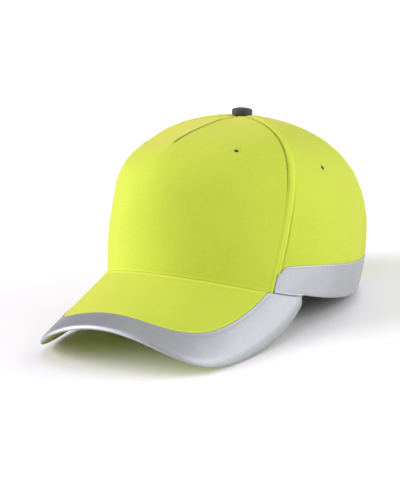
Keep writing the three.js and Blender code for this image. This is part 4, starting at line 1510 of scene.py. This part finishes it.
def peak_cover(name, top, upper):
    """Cloth over or under the peak. The upper one rolls into its seam and isn't quite even."""

    def place(u, v, side):
        length, width = peak_length(u), strip_width(u)
        inward = mix(COVER_START, length, v)
        depth = top + side * COVER_THICKNESS + 0 * inward
        if upper:
            rest = length - inward
            loose = wavy(peak_outline(u)[..., 0] + 3, *COVER_WAVE)
            loose = loose * ease(rest / 12) * ease((inward - width) / 8)
            roll = form(rest, *COVER_ROLL) + form(rest, *COVER_GROOVE)
            depth = depth - loose - roll * ease(inward - width)
        return peak_point(u, inward, depth)

    # Lighter where the cloth lies double: partly thicker cloth, partly a painted highlight.
    def doubled(u, v):
        inward, (near, far) = mix(COVER_START, peak_length(u), v), COVER_FELL
        past_strip = (inward - strip_width(u) - near) / COVER_FELL_FADE
        from_seam = (peak_length(u) - inward - far) / COVER_FELL_FADE
        return np.maximum(1 - ease(past_strip), 1 - ease(from_seam))

    vs = np.unique(np.concatenate([np.linspace(0, 0.94, 60), [0.95, 0.96, 0.97, 0.98, 0.99, 1]]))
    return grid_mesh(name, PEAK_US, vs, place, doubled=doubled if upper else None)


# Where the strip's rows lie from its fold to its stitched edge.
STRIP_SHARES = (0.12, 0.3, 0.5, 0.7, 0.8, 0.84, 0.88, 0.92, 0.955, 0.98, 0.994)


def strip_section(u, side):
    """The strip's folded section at u, from its hidden edge below to its stitched edge above."""
    width = strip_width(u)
    half = PEAK_STACK / 2
    turned_in = half + STRIP_PROUD
    reach = turned_in - side * STRIP_THICKNESS
    inner = STRIP_PROUD - 0.02
    back = np.maximum(np.minimum(STRIP_RETURN, width / 3), turned_in + 0.1)
    rows = [(back, half + turned_in - mix(0.1, STRIP_THICKNESS, side) + 0 * u)]
    rows.append((mix(back, turned_in, 0.5), half + reach + 0 * u))
    for turn in np.linspace(90, -90, 13) * DEG:
        inward = turned_in - reach * math.cos(turn)
        rows.append((inward + 0 * u, half + reach * math.sin(turn) + 0 * u))
    for share in STRIP_SHARES:
        away = (1 - share) * (width - turned_in)
        lift = STRIP_PROUD + form(away, *STRIP_ROLL) + form(away, *STRIP_GROOVE)
        lift = lift - 0.13 * (1 - ease(away / 0.5))
        inward = mix(turned_in, width, share)
        rows.append((inward, mix(-lift, inner, side)))
    rows.append((width, mix(0.06, inner, side) + 0 * u))
    return rows


def peak_strip():
    """The strip's folded section carried along the peak's edge."""
    count = len(strip_section(np.zeros(1), 0.0))

    def place(u, v, side):
        row = np.rint(v * (count - 1)).astype(int)
        section = np.array(strip_section(u, side))
        inward, depth = np.take_along_axis(section, row[None, None], 0)[0]
        return peak_point(u, inward, depth)

    return grid_mesh("peak_trim", PEAK_US, np.linspace(0, 1, count), place)


class CAP_OT_peak(bpy.types.Operator):
    """Cloth over and under the peak, and the reflective strip folded round its edge"""

    bl_idname = "cap.peak"
    bl_label = "Peak covers and strip"

    def execute(self, context):
        under = PEAK_STACK - COVER_SINK - COVER_THICKNESS
        for word, top in (("top", COVER_SINK), ("under", under)):
            mesh = peak_cover(f"peak_cloth_{word}", top, word == "top")
            made = piece(mesh, cloth(), [f"peak_{word}_cover"])
        mesh = peak_strip()
        flatten(mesh)
        # A darkened copy of the band's reflective cloth: painted shade.
        painted_shade_colour = [STRIP_PAINTED_SHADE * c for c in colours().reflective]
        strip = shared("peak_reflective_cloth", lambda n: reflective_finish(n, painted_shade_colour))
        made = piece(mesh, strip, ["peak_reflective_strip"])
        u = np.linspace(-0.96, 0.96, 240)
        x = peak_outline(u)[:, 0]
        slope = x / np.sqrt(PEAK_RADIUS**2 - x**2)
        normals = np.stack([slope, -PEAK_SLOPE + 0 * x, 1 + 0 * x], -1)
        normals /= np.linalg.norm(normals, axis=1, keepdims=True)
        margin = sewing().edge_margin / MM
        inner = peak_point(u, strip_width(u) - margin, 0.0 * u)
        sew("peak_stitching", [(inner, normals)], grey_thread())
        return {"FINISHED"}


# ---- Button and eyelets ----


def spun(profile, steps):
    """A profile of (radius, height) turned round the upright axis."""
    bm = bmesh.new()
    verts = [bm.verts.new((r, 0, z)) for r, z in profile]
    edges = [bm.edges.new(pair) for pair in zip(verts, verts[1:])]
    turn = {"cent": (0, 0, 0), "axis": (0, 0, 1), "angle": 2 * math.pi}
    bmesh.ops.spin(bm, geom=verts + edges, steps=steps, use_merge=True, **turn)
    bmesh.ops.remove_doubles(bm, verts=bm.verts[:], dist=1e-4)
    return bm


class CAP_OT_button(bpy.types.Operator):
    """Cloth-covered button on top of the crown"""

    bl_idname = "cap.button"
    bl_label = "Top button"

    def execute(self, context):
        finish = shared("dark_button_cloth", lambda n: button_finish(n, colours().button))
        radius, height, seat = BUTTON_RADIUS, BUTTON_HEIGHT, BUTTON_SEAT
        # Radius and height: the shank, the underside, the edge and the rounded top.
        profile = [(0, -3.5), (1.5, -3.5), (1.5, 0.2), (radius - 1.3, -0.35)]
        profile += [(radius - 0.5, -0.3), (radius - 0.12, 0.3), (radius, seat + 1.4)]
        for turn in np.linspace(0, 90, 9)[1:] * DEG:
            r = radius - 2.6 * (1 - math.cos(turn))
            profile.append((r, seat + 2.5 + (height - 3.1) * math.sin(turn)))
        for share, drop in ((0.45, 0.25), (0.2, 0.06), (0, 0)):
            profile.append((radius * share, seat + height - drop))
        bm = spun(profile, 48)
        bmesh.ops.recalc_face_normals(bm, faces=bm.faces[:])
        uv = bm.loops.layers.uv.new("cloth")
        for face in bm.faces:
            for loop in face.loops:
                p = loop.vert.co
                loop[uv].uv = (p.x * MM, p.y * MM)
        for v in bm.verts:
            turn = math.atan2(v.co.y, v.co.x)
            r = math.hypot(v.co.x, v.co.y)
            gather = 1 + 0.012 * math.sin(BUTTON_GATHERS * turn) * (r > 4) * (v.co.z < 3.5)
            point = (v.co.x * gather, v.co.y * gather + APEX_SETBACK, v.co.z + CROWN_HEIGHT)
            v.co = placed(np.array(point))
        mesh = finished_mesh("button_cover", bm)
        piece(mesh, finish, ["top_button"])
        return {"FINISHED"}


# Radius and height, from the barrel's foot up over the ring.
EYELET_SECTION = (
    (1.75, -1.25), (1.7, -0.2), (1.8, 0.16), (2.1, 0.3), (2.6, 0.28), (3.0, 0.12), (3.15, -0.15)
)


class CAP_OT_eyelets(bpy.types.Operator):
    """Embroidered eyelets: thread wrapped round a small hole"""

    bl_idname = "cap.eyelets"
    bl_label = "Eyelets"

    def execute(self, context):
        thread = shared("wrapped_thread", lambda n: thread_finish(n, (0.72, 0.80, 0.25)))
        for node, angle, t in eyelets():
            across, up, normal = facing(outward(crown, angle, t))
            basis = Matrix((across, up, normal)).transposed().to_4x4()
            placing = Matrix.Translation(sewn(angle, t, 0)) @ basis
            bm = self.wrap()
            bmesh.ops.transform(bm, matrix=placing, verts=bm.verts[:])
            into_part(bm)
            mesh = finished_mesh(f"wrapped_{node}", bm)
            piece(mesh, thread, [node])
        return {"FINISHED"}

    def wrap(self):
        """A ring of wrapped threads round a bore, and the barrel below."""
        bm = spun(EYELET_SECTION, 4 * EYELET_TURNS)
        for v in bm.verts:
            r = math.hypot(v.co.x, v.co.y)
            turn = EYELET_TURNS * math.atan2(v.co.y, v.co.x)
            v.co.z += 0.06 * math.cos(turn) * (v.co.z > -0.2) * (1.7 < r)
            grow = 1 + (0.03 * math.sin(turn + 1) if r > 2.7 else 0)
            v.co.x *= grow
            v.co.y *= grow
        bmesh.ops.bridge_loops(bm, edges=[e for e in bm.edges if e.is_boundary])
        bmesh.ops.recalc_face_normals(bm, faces=bm.faces[:])
        return bm


# ---- Arch, straps and patches ----


class CAP_OT_arch(bpy.types.Operator):
    """Bound edge of the arched opening at the back"""

    bl_idname = "cap.arch"
    bl_label = "Arch binding"

    def execute(self, context):
        x, z = arch_line()
        z = np.maximum(z, HEM_RADIUS)
        angle, t = on_back(x, z, 0.5)
        centres = inset(crown, angle, t, 0.5 + 0 * t)
        outs = outward(crown, angle, t)
        tops = sideways(centres, outs, centres - np.array([0, centres[0, 1], 0]))
        binding = shared("edge_binding", lambda n: cloth_finish(n, (0.78, 0.83, 0.30), 0.0009, 0.1))
        radii = BINDING_RADIUS + 0.15 * ease((z - 4) / 4)
        mesh = folded_mesh("arch_edge", centres, outs, tops, radii)
        made = piece(mesh, binding, ["arch_binding"])
        return {"FINISHED"}


def strap_point(x, v, depth):
    """A point of the straps at x across the back, v from the lower to the upper edge."""
    angle = back_angle(np.abs(x))
    t = at_rise(angle, STRAP_RISE + v * STRAP_WIDTH * STRAP_UPRIGHT_SHARE)
    return inset(crown, np.where(x < 0, -angle, angle), t, depth)


TAB_RISE = -2 * STRAP_GAP - 2 * PATCH_THICKNESS - STRAP_THICKNESS - STRAP_GAP


def tab_depth(x):
    """Depth of the hook strap, which steps out over the loop strap past its hinge."""
    return STRAP_DEPTH + TAB_RISE * ease((HINGE_X - x) / TAB_STEP)


def strap_mesh(name, start, end, depth, margin, thickness):
    """A flat strap across the back, from a place at +X to one at -X."""
    places = np.linspace(end, start, round(abs(start - end) / STRAP_STEP) + 1)
    tips = [end + d for d in (0.15, 0.4, 0.8)]
    places = np.unique(np.concatenate([places, tips]))

    def place(x, v, side):
        edge = margin(x) / STRAP_WIDTH
        across = mix(edge, 1 - edge, v)
        near = np.minimum(v, 1 - v) * (1 - 2 * edge) * STRAP_WIDTH
        thin = mix(0.35, 1, ease(near / 0.7))
        stitched = 0.1 * bump(near - 2, 0.4)
        middle = depth(x) + thickness / 2
        return strap_point(x, across, middle + (side - 0.5) * (thickness - stitched) * thin)

    vs = spaced(STRAP_WIDTH, STRAP_STEP, STRAP_STEPS)
    return grid_mesh(name, places, vs, place)


def tab_margin(x):
    """How far the tab's rounded end draws in from the strap's edges."""
    past = clamp01((TAB_END_X + TAB_END_ROUND - x) / TAB_END_ROUND)
    return TAB_END_ROUND * (1 - np.sqrt(1 - past**2))


def no_margin(x):
    return 0 * x


def level(x):
    return STRAP_DEPTH + 0 * x


class CAP_OT_straps(bpy.types.Operator):
    """Closure straps across the arch: a peel-back tab and the strap below it"""

    bl_idname = "cap.straps"
    bl_label = "Closure straps"

    def execute(self, context):
        ends, thickness = (STRAP_ROOT_X, TAB_END_X), STRAP_THICKNESS
        mesh = strap_mesh("peel_strap", *ends, tab_depth, tab_margin, thickness)
        nodes = ["hook_strap_root", "hook_strap_tab"]
        made = piece(mesh, cloth(), nodes, None)
        bend = np.array([HINGE_X + BEND_HALF_LENGTH, HINGE_X - BEND_HALF_LENGTH])
        start, end = placed(strap_point(bend, 0 * bend + 0.5, level(bend)))
        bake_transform(made)
        ends = (LOOP_STRAP_PASS, -STRAP_ROOT_X)
        mesh = strap_mesh("under_strap", *ends, level, no_margin, thickness)
        made = piece(mesh, cloth(), ["loop_strap"])
        return {"FINISHED"}


class CAP_OT_patches(bpy.types.Operator):
    """Hook patch under the tab and loop patch on the strap"""

    bl_idname = "cap.patches"
    bl_label = "Hook and loop patches"

    def execute(self, context):
        def margin(x):
            return PATCH_MARGIN + 0 * x

        hooks = shared("hook_tape", lambda n: fastener_finish(n, colours().lining, False))
        loops = shared("loop_tape", lambda n: fastener_finish(n, colours().lining, True))
        end = TAB_END_X + TAB_END_ROUND

        def under_tab(x):
            return tab_depth(x) + STRAP_THICKNESS + PATCH_GAP

        ends = (end + HOOK_PATCH_LENGTH, end)
        mesh = strap_mesh("hook_tape_patch", *ends, under_tab, margin, PATCH_BODY)
        made = piece(mesh, hooks, ["hook_patch"], "closure_tab")

        def over_strap(x):
            return level(x) - PATCH_GAP - PATCH_BODY

        start = LOOP_STRAP_PASS - PATCH_MARGIN
        ends = (start, start - LOOP_PATCH_LENGTH)
        mesh = strap_mesh("loop_tape_patch", *ends, over_strap, margin, PATCH_BODY)
        made = piece(mesh, loops, ["loop_patch"])
        return {"FINISHED"}


# ---- Shell and pads ----


def shell_surface(angle, t):
    """Outside of the shell: inside the crown, and narrow enough to slide out of its opening."""
    t = np.asarray(t, float)
    at = inset(crown, angle, t, mix(SHELL_DEPTH, SHELL_TOP_DEPTH, ease(t)))
    across = at[..., 0] / (RIM_HALF_WIDTH - SHELL_DEPTH)
    along = at[..., 1] / (RIM_HALF_LENGTH - SHELL_DEPTH)
    share = np.hypot(across, along)
    held = (1 + share**SHELL_FIT_SHARPNESS) ** (-1 / SHELL_FIT_SHARPNESS)
    return at * np.stack([held, held, 1 + 0 * held], -1)


def wrapped(angle):
    """The same angle, from -pi to pi."""
    return (angle + math.pi) % (2 * math.pi) - math.pi


def slot_core(b):
    """The nearest place on a vent's middle line."""
    half = (VENT_LENGTH - VENT_WIDTH) / 2
    return max(-half, min(half, b))


def slot_outline(a, b):
    """Moves a point of a vent's plane to the slot's nearest edge."""
    core = slot_core(b)
    far = math.hypot(a, b - core) or 1e-6
    reach = VENT_WIDTH / 2 / far
    return a * reach, core + (b - core) * reach


class CAP_OT_shell(bpy.types.Operator):
    """Moulded protective shell with its vents"""

    bl_idname = "cap.shell"
    bl_label = "Protective shell"

    def execute(self, context):
        columns, rows = 180, 64
        bm = bmesh.new()
        bmesh.ops.create_grid(bm, x_segments=columns, y_segments=rows, size=0.5)
        co = np.array([v.co[:2] for v in bm.verts]) + 0.5
        angle = wrapped(co[:, 0] * 2 * math.pi)
        points = shell_surface(angle, mix(at_rise(angle, SHELL_RISE), 1, co[:, 1]))
        for v, p in zip(bm.verts, points):
            v.co = p
        bmesh.ops.remove_doubles(bm, verts=bm.verts[:], dist=0.01)
        for degrees in VENT_ANGLES:
            for _, side in SIDES:
                self.cut_vent(bm, np.array(side * degrees * DEG))
        bmesh.ops.recalc_face_normals(bm, faces=bm.faces[:])
        into_part(bm)
        mesh = finished_mesh("moulded_shell", bm)
        finish = shared("moulded_plastic", lambda n: moulded_finish(n, colours().shell, 0.45))
        made = piece(mesh, finish, ["shell"], "shell_insert")
        wall_thickness = made.modifiers.new("wall", "SOLIDIFY")
        wall_thickness.thickness = SHELL_THICKNESS * MM
        wall_thickness.offset = -1
        edges = made.modifiers.new("edges", "BEVEL")
        edges.width, edges.segments = SHELL_ROUND * MM, 2
        edges.limit_method, edges.angle_limit = "ANGLE", 50 * DEG
        return {"FINISHED"}

    def cut_vent(self, bm, angle):
        centre = shell_surface(angle, np.array(VENT_HEIGHT))
        across, up, _ = facing(outward(shell_surface, angle, np.array(VENT_HEIGHT)))

        def plane(v):
            d = np.array(v.co) - centre
            return float(d @ across), float(d @ up)

        def reached(v):
            return np.linalg.norm(np.array(v.co) - centre) < VENT_REACH

        near = {v: plane(v) for v in bm.verts if reached(v)}

        def inside(v):
            if v not in near:
                return False
            a, b = near[v]
            return math.hypot(a, b - slot_core(b)) < VENT_WIDTH / 2

        holes = [f for f in bm.faces if sum(inside(v) for v in f.verts) >= 3]
        ring = {v for f in holes for v in f.verts}
        bmesh.ops.delete(bm, geom=holes, context="FACES")
        for v in [v for v in ring if v.is_valid and v.link_faces]:
            a, b = near[v]
            a2, b2 = slot_outline(a, b)
            v.co = Vector(np.array(v.co) + (a2 - a) * across + (b2 - b) * up)


def pad_mesh(name, us, vs, where):
    """A pad with a flat back on the shell and a crowned face towards the head."""

    def place(u, v, side):
        angle, t, edge = where(u, v)
        full = ease(edge / PAD_ROUND)
        thick = mix(PAD_EDGE, PAD_THICKNESS * PAD_FILL, full) + form(edge, *PAD_GROOVE)
        return inset(shell_surface, angle, t, PAD_DEPTH + PAD_GAP + side * thick)

    return grid_mesh(name, us, vs, place)


class CAP_OT_pads(bpy.types.Operator):
    """Foam pads inside the shell"""

    bl_idname = "cap.pads"
    bl_label = "Pads"

    def execute(self, context):
        finish = shared("brushed_foam", lambda n: foam_finish(n, colours().foam))
        half = PAD_HALF_SPREAD
        spots = [("front_pad", 0.0), ("back_pad", math.pi)]
        spots += [(f"side_pad_{word}", side * math.pi / 2) for word, side in SIDES]
        for node, middle in spots:

            def where(u, v, middle=middle):
                corner = 1 - 0.1 * clamp01((np.abs(2 * v - 1) - 0.6) / 0.4) ** 2
                angle = wrapped(middle + u * half * corner)
                t = at_rise(angle, PAD_RISE + v * PAD_HEIGHT)
                in_from_end = (1 - np.abs(u)) * half * PAD_RADIUS
                return angle, t, np.minimum(in_from_end, np.minimum(v, 1 - v) * PAD_HEIGHT)

            mesh = pad_mesh(f"foam_{node}", np.linspace(-1, 1, 57), np.linspace(0, 1, 37), where)
            made = piece(mesh, finish, [node], "shell_insert")

        def on_top(u, v):
            """The square grid drawn onto a disc."""
            radius = CROWN_PAD_HALF * np.maximum(np.abs(u), np.abs(v))
            angle = np.arctan2(u, -v)
            t = np.minimum(at_radius(angle, np.maximum(radius, 0.05)), 0.995)
            return angle, t, CROWN_PAD_HALF - radius

        us = np.linspace(-1, 1, 41)
        mesh = pad_mesh("foam_crown_pad", us, us, on_top)
        made = piece(mesh, finish, ["crown_pad"], "shell_insert")
        return {"FINISHED"}


class CAP_OT_hard_parts(bpy.types.Operator):
    """Finishes of the hard pieces that keep their CAD shape"""

    bl_idname = "cap.hard_parts"
    bl_label = "Board and washer"

    def execute(self, context):
        finishes = {
            "peak_board": moulded_finish("board_plastic", colours().board, 0.5),
            "button_washer": metal_finish("stamped_metal", colours().metal),
        }
        for node, material in finishes.items():
            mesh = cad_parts[node].data
            mesh.materials.clear()
            mesh.materials.append(material)
        return {"FINISHED"}


# ---- Stage ----


LAMP_SPREAD = 50 * DEG
# Azimuth and elevation in degrees, and colour. Their strengths are in the settings.
LAMPS = {
    "key": (-56, 22, (1.03, 1.0, 1.04)),
    "side": (97, 22, (1.0, 1.0, 1.0)),
    "back": (147, 22, (1.0, 1.0, 1.0)),
    "top": (0, 88, (1.0, 1.0, 1.0)),
}
SKY_COLOUR = (1.0, 0.92, 1.16, 1)
FLOOR_COLOUR = (0.97, 0.97, 0.97, 1)
SENSOR_WIDTH = 36
CLIP_START, CLIP_END = 0.05, 60
FLOOR_HALF = 14
FLOOR_DROP = 0.0004


def soft_lamp(name, azimuth, elevation, strength, colour):
    """A broad, distant lamp. Azimuth 0 lights the front, 90 the left side."""
    data = bpy.data.lights.new(name, "SUN")
    data.angle, data.energy, data.color = LAMP_SPREAD, strength, colour
    lamp = bpy.data.objects.new(name, data)
    bpy.context.scene.collection.objects.link(lamp)
    across, up = azimuth * DEG, elevation * DEG
    flat = math.cos(up)
    towards = Vector((math.sin(across) * flat, -math.cos(across) * flat, math.sin(up)))
    lamp.rotation_mode = "QUATERNION"
    lamp.rotation_quaternion = towards.to_track_quat("Z", "Y")


class CAP_OT_stage(bpy.types.Operator):
    """White floor, soft lamps and the photograph's camera"""

    bl_idname = "cap.stage"
    bl_label = "Stage"

    def execute(self, context):
        scene, stage = context.scene, context.scene.cap_stage
        bm = bmesh.new()
        bmesh.ops.create_grid(bm, x_segments=1, y_segments=1, size=FLOOR_HALF)
        bmesh.ops.transform(bm, matrix=Matrix.Translation((0, 0, -FLOOR_DROP)), verts=bm.verts[:])
        floor = bpy.data.objects.new("floor", finished_mesh("floor", bm, False))
        scene.collection.objects.link(floor)
        s = Shader("white_floor")
        s.set(Base_Color=FLOOR_COLOUR, Roughness=0.8, Specular_IOR_Level=0.0)
        floor.data.materials.append(s.material)

        world = bpy.data.worlds.new("studio")
        world.use_nodes = True
        tree = world.node_tree
        sky = tree.nodes["Background"]
        sky.inputs["Color"].default_value = SKY_COLOUR
        sky.inputs["Strength"].default_value = stage.world
        plain = tree.nodes.new("ShaderNodeBackground")
        plain.inputs["Color"].default_value = (1, 1, 1, 1)
        plain.inputs["Strength"].default_value = 1.0
        rays = tree.nodes.new("ShaderNodeLightPath")
        choose = tree.nodes.new("ShaderNodeMixShader")
        tree.links.new(rays.outputs["Is Camera Ray"], choose.inputs[0])
        tree.links.new(sky.outputs[0], choose.inputs[1])
        tree.links.new(plain.outputs[0], choose.inputs[2])
        tree.links.new(choose.outputs[0], tree.nodes["World Output"].inputs["Surface"])
        scene.world = world

        for name, (azimuth, elevation, colour) in LAMPS.items():
            soft_lamp(name, azimuth, elevation, getattr(stage, name), colour)

        camera = bpy.data.objects.new("camera", bpy.data.cameras.new("camera"))
        scene.collection.objects.link(camera)
        back = Vector(turned(CAMERA_BACK)).normalized()
        up = Vector(turned(CAMERA_UP)).normalized()
        right = up.cross(back).normalized()
        up = back.cross(right)
        camera.rotation_mode = "QUATERNION"
        camera.rotation_quaternion = Matrix((right, up, back)).transposed().to_quaternion()
        camera.location = placed(CAMERA_PLACE)
        camera.data.lens, camera.data.sensor_width = CAMERA_LENS, SENSOR_WIDTH
        camera.data.shift_x, camera.data.shift_y = CAMERA_SHIFT
        camera.data.clip_start, camera.data.clip_end = CLIP_START, CLIP_END
        scene.camera = camera
        scene.view_settings.view_transform = "Standard"
        return {"FINISHED"}


STEPS = (
    CAP_OT_stage,
    CAP_OT_crown,
    CAP_OT_crown_stitching,
    CAP_OT_linings,
    CAP_OT_sweatband,
    CAP_OT_bands,
    CAP_OT_hems,
    CAP_OT_peak,
    CAP_OT_button,
    CAP_OT_eyelets,
    CAP_OT_arch,
    CAP_OT_straps,
    CAP_OT_patches,
    CAP_OT_shell,
    CAP_OT_pads,
    CAP_OT_hard_parts,
)


class CAP_PT_panel(bpy.types.Panel):
    """Lists the cap's settings and pieces"""

    bl_idname = "CAP_PT_panel"
    bl_label = "Bump cap"
    bl_space_type = "VIEW_3D"
    bl_region_type = "UI"
    bl_category = "Bump cap"

    def draw(self, context):
        for group in (context.scene.cap_colours, context.scene.cap_sewing, context.scene.cap_stage):
            box = self.layout.box()
            for name in group.__annotations__:
                box.prop(group, name)
        for step in STEPS:
            self.layout.operator(step.bl_idname)


GROUPS = {"cap_colours": CapColours, "cap_sewing": CapSewing, "cap_stage": CapStage}


def register():
    for group in (*GROUPS.values(), *STEPS, CAP_PT_panel):
        bpy.utils.register_class(group)
    for name, group in GROUPS.items():
        setattr(bpy.types.Scene, name, bpy.props.PointerProperty(type=group))


def unregister():
    for name in GROUPS:
        delattr(bpy.types.Scene, name)
    for group in (CAP_PT_panel, *reversed(STEPS), *GROUPS.values()):
        bpy.utils.unregister_class(group)


def main():
    register()
    for step in STEPS:
        family, name = step.bl_idname.split(".")
        getattr(getattr(bpy.ops, family), name)()


if __name__ == "__main__":
    main()
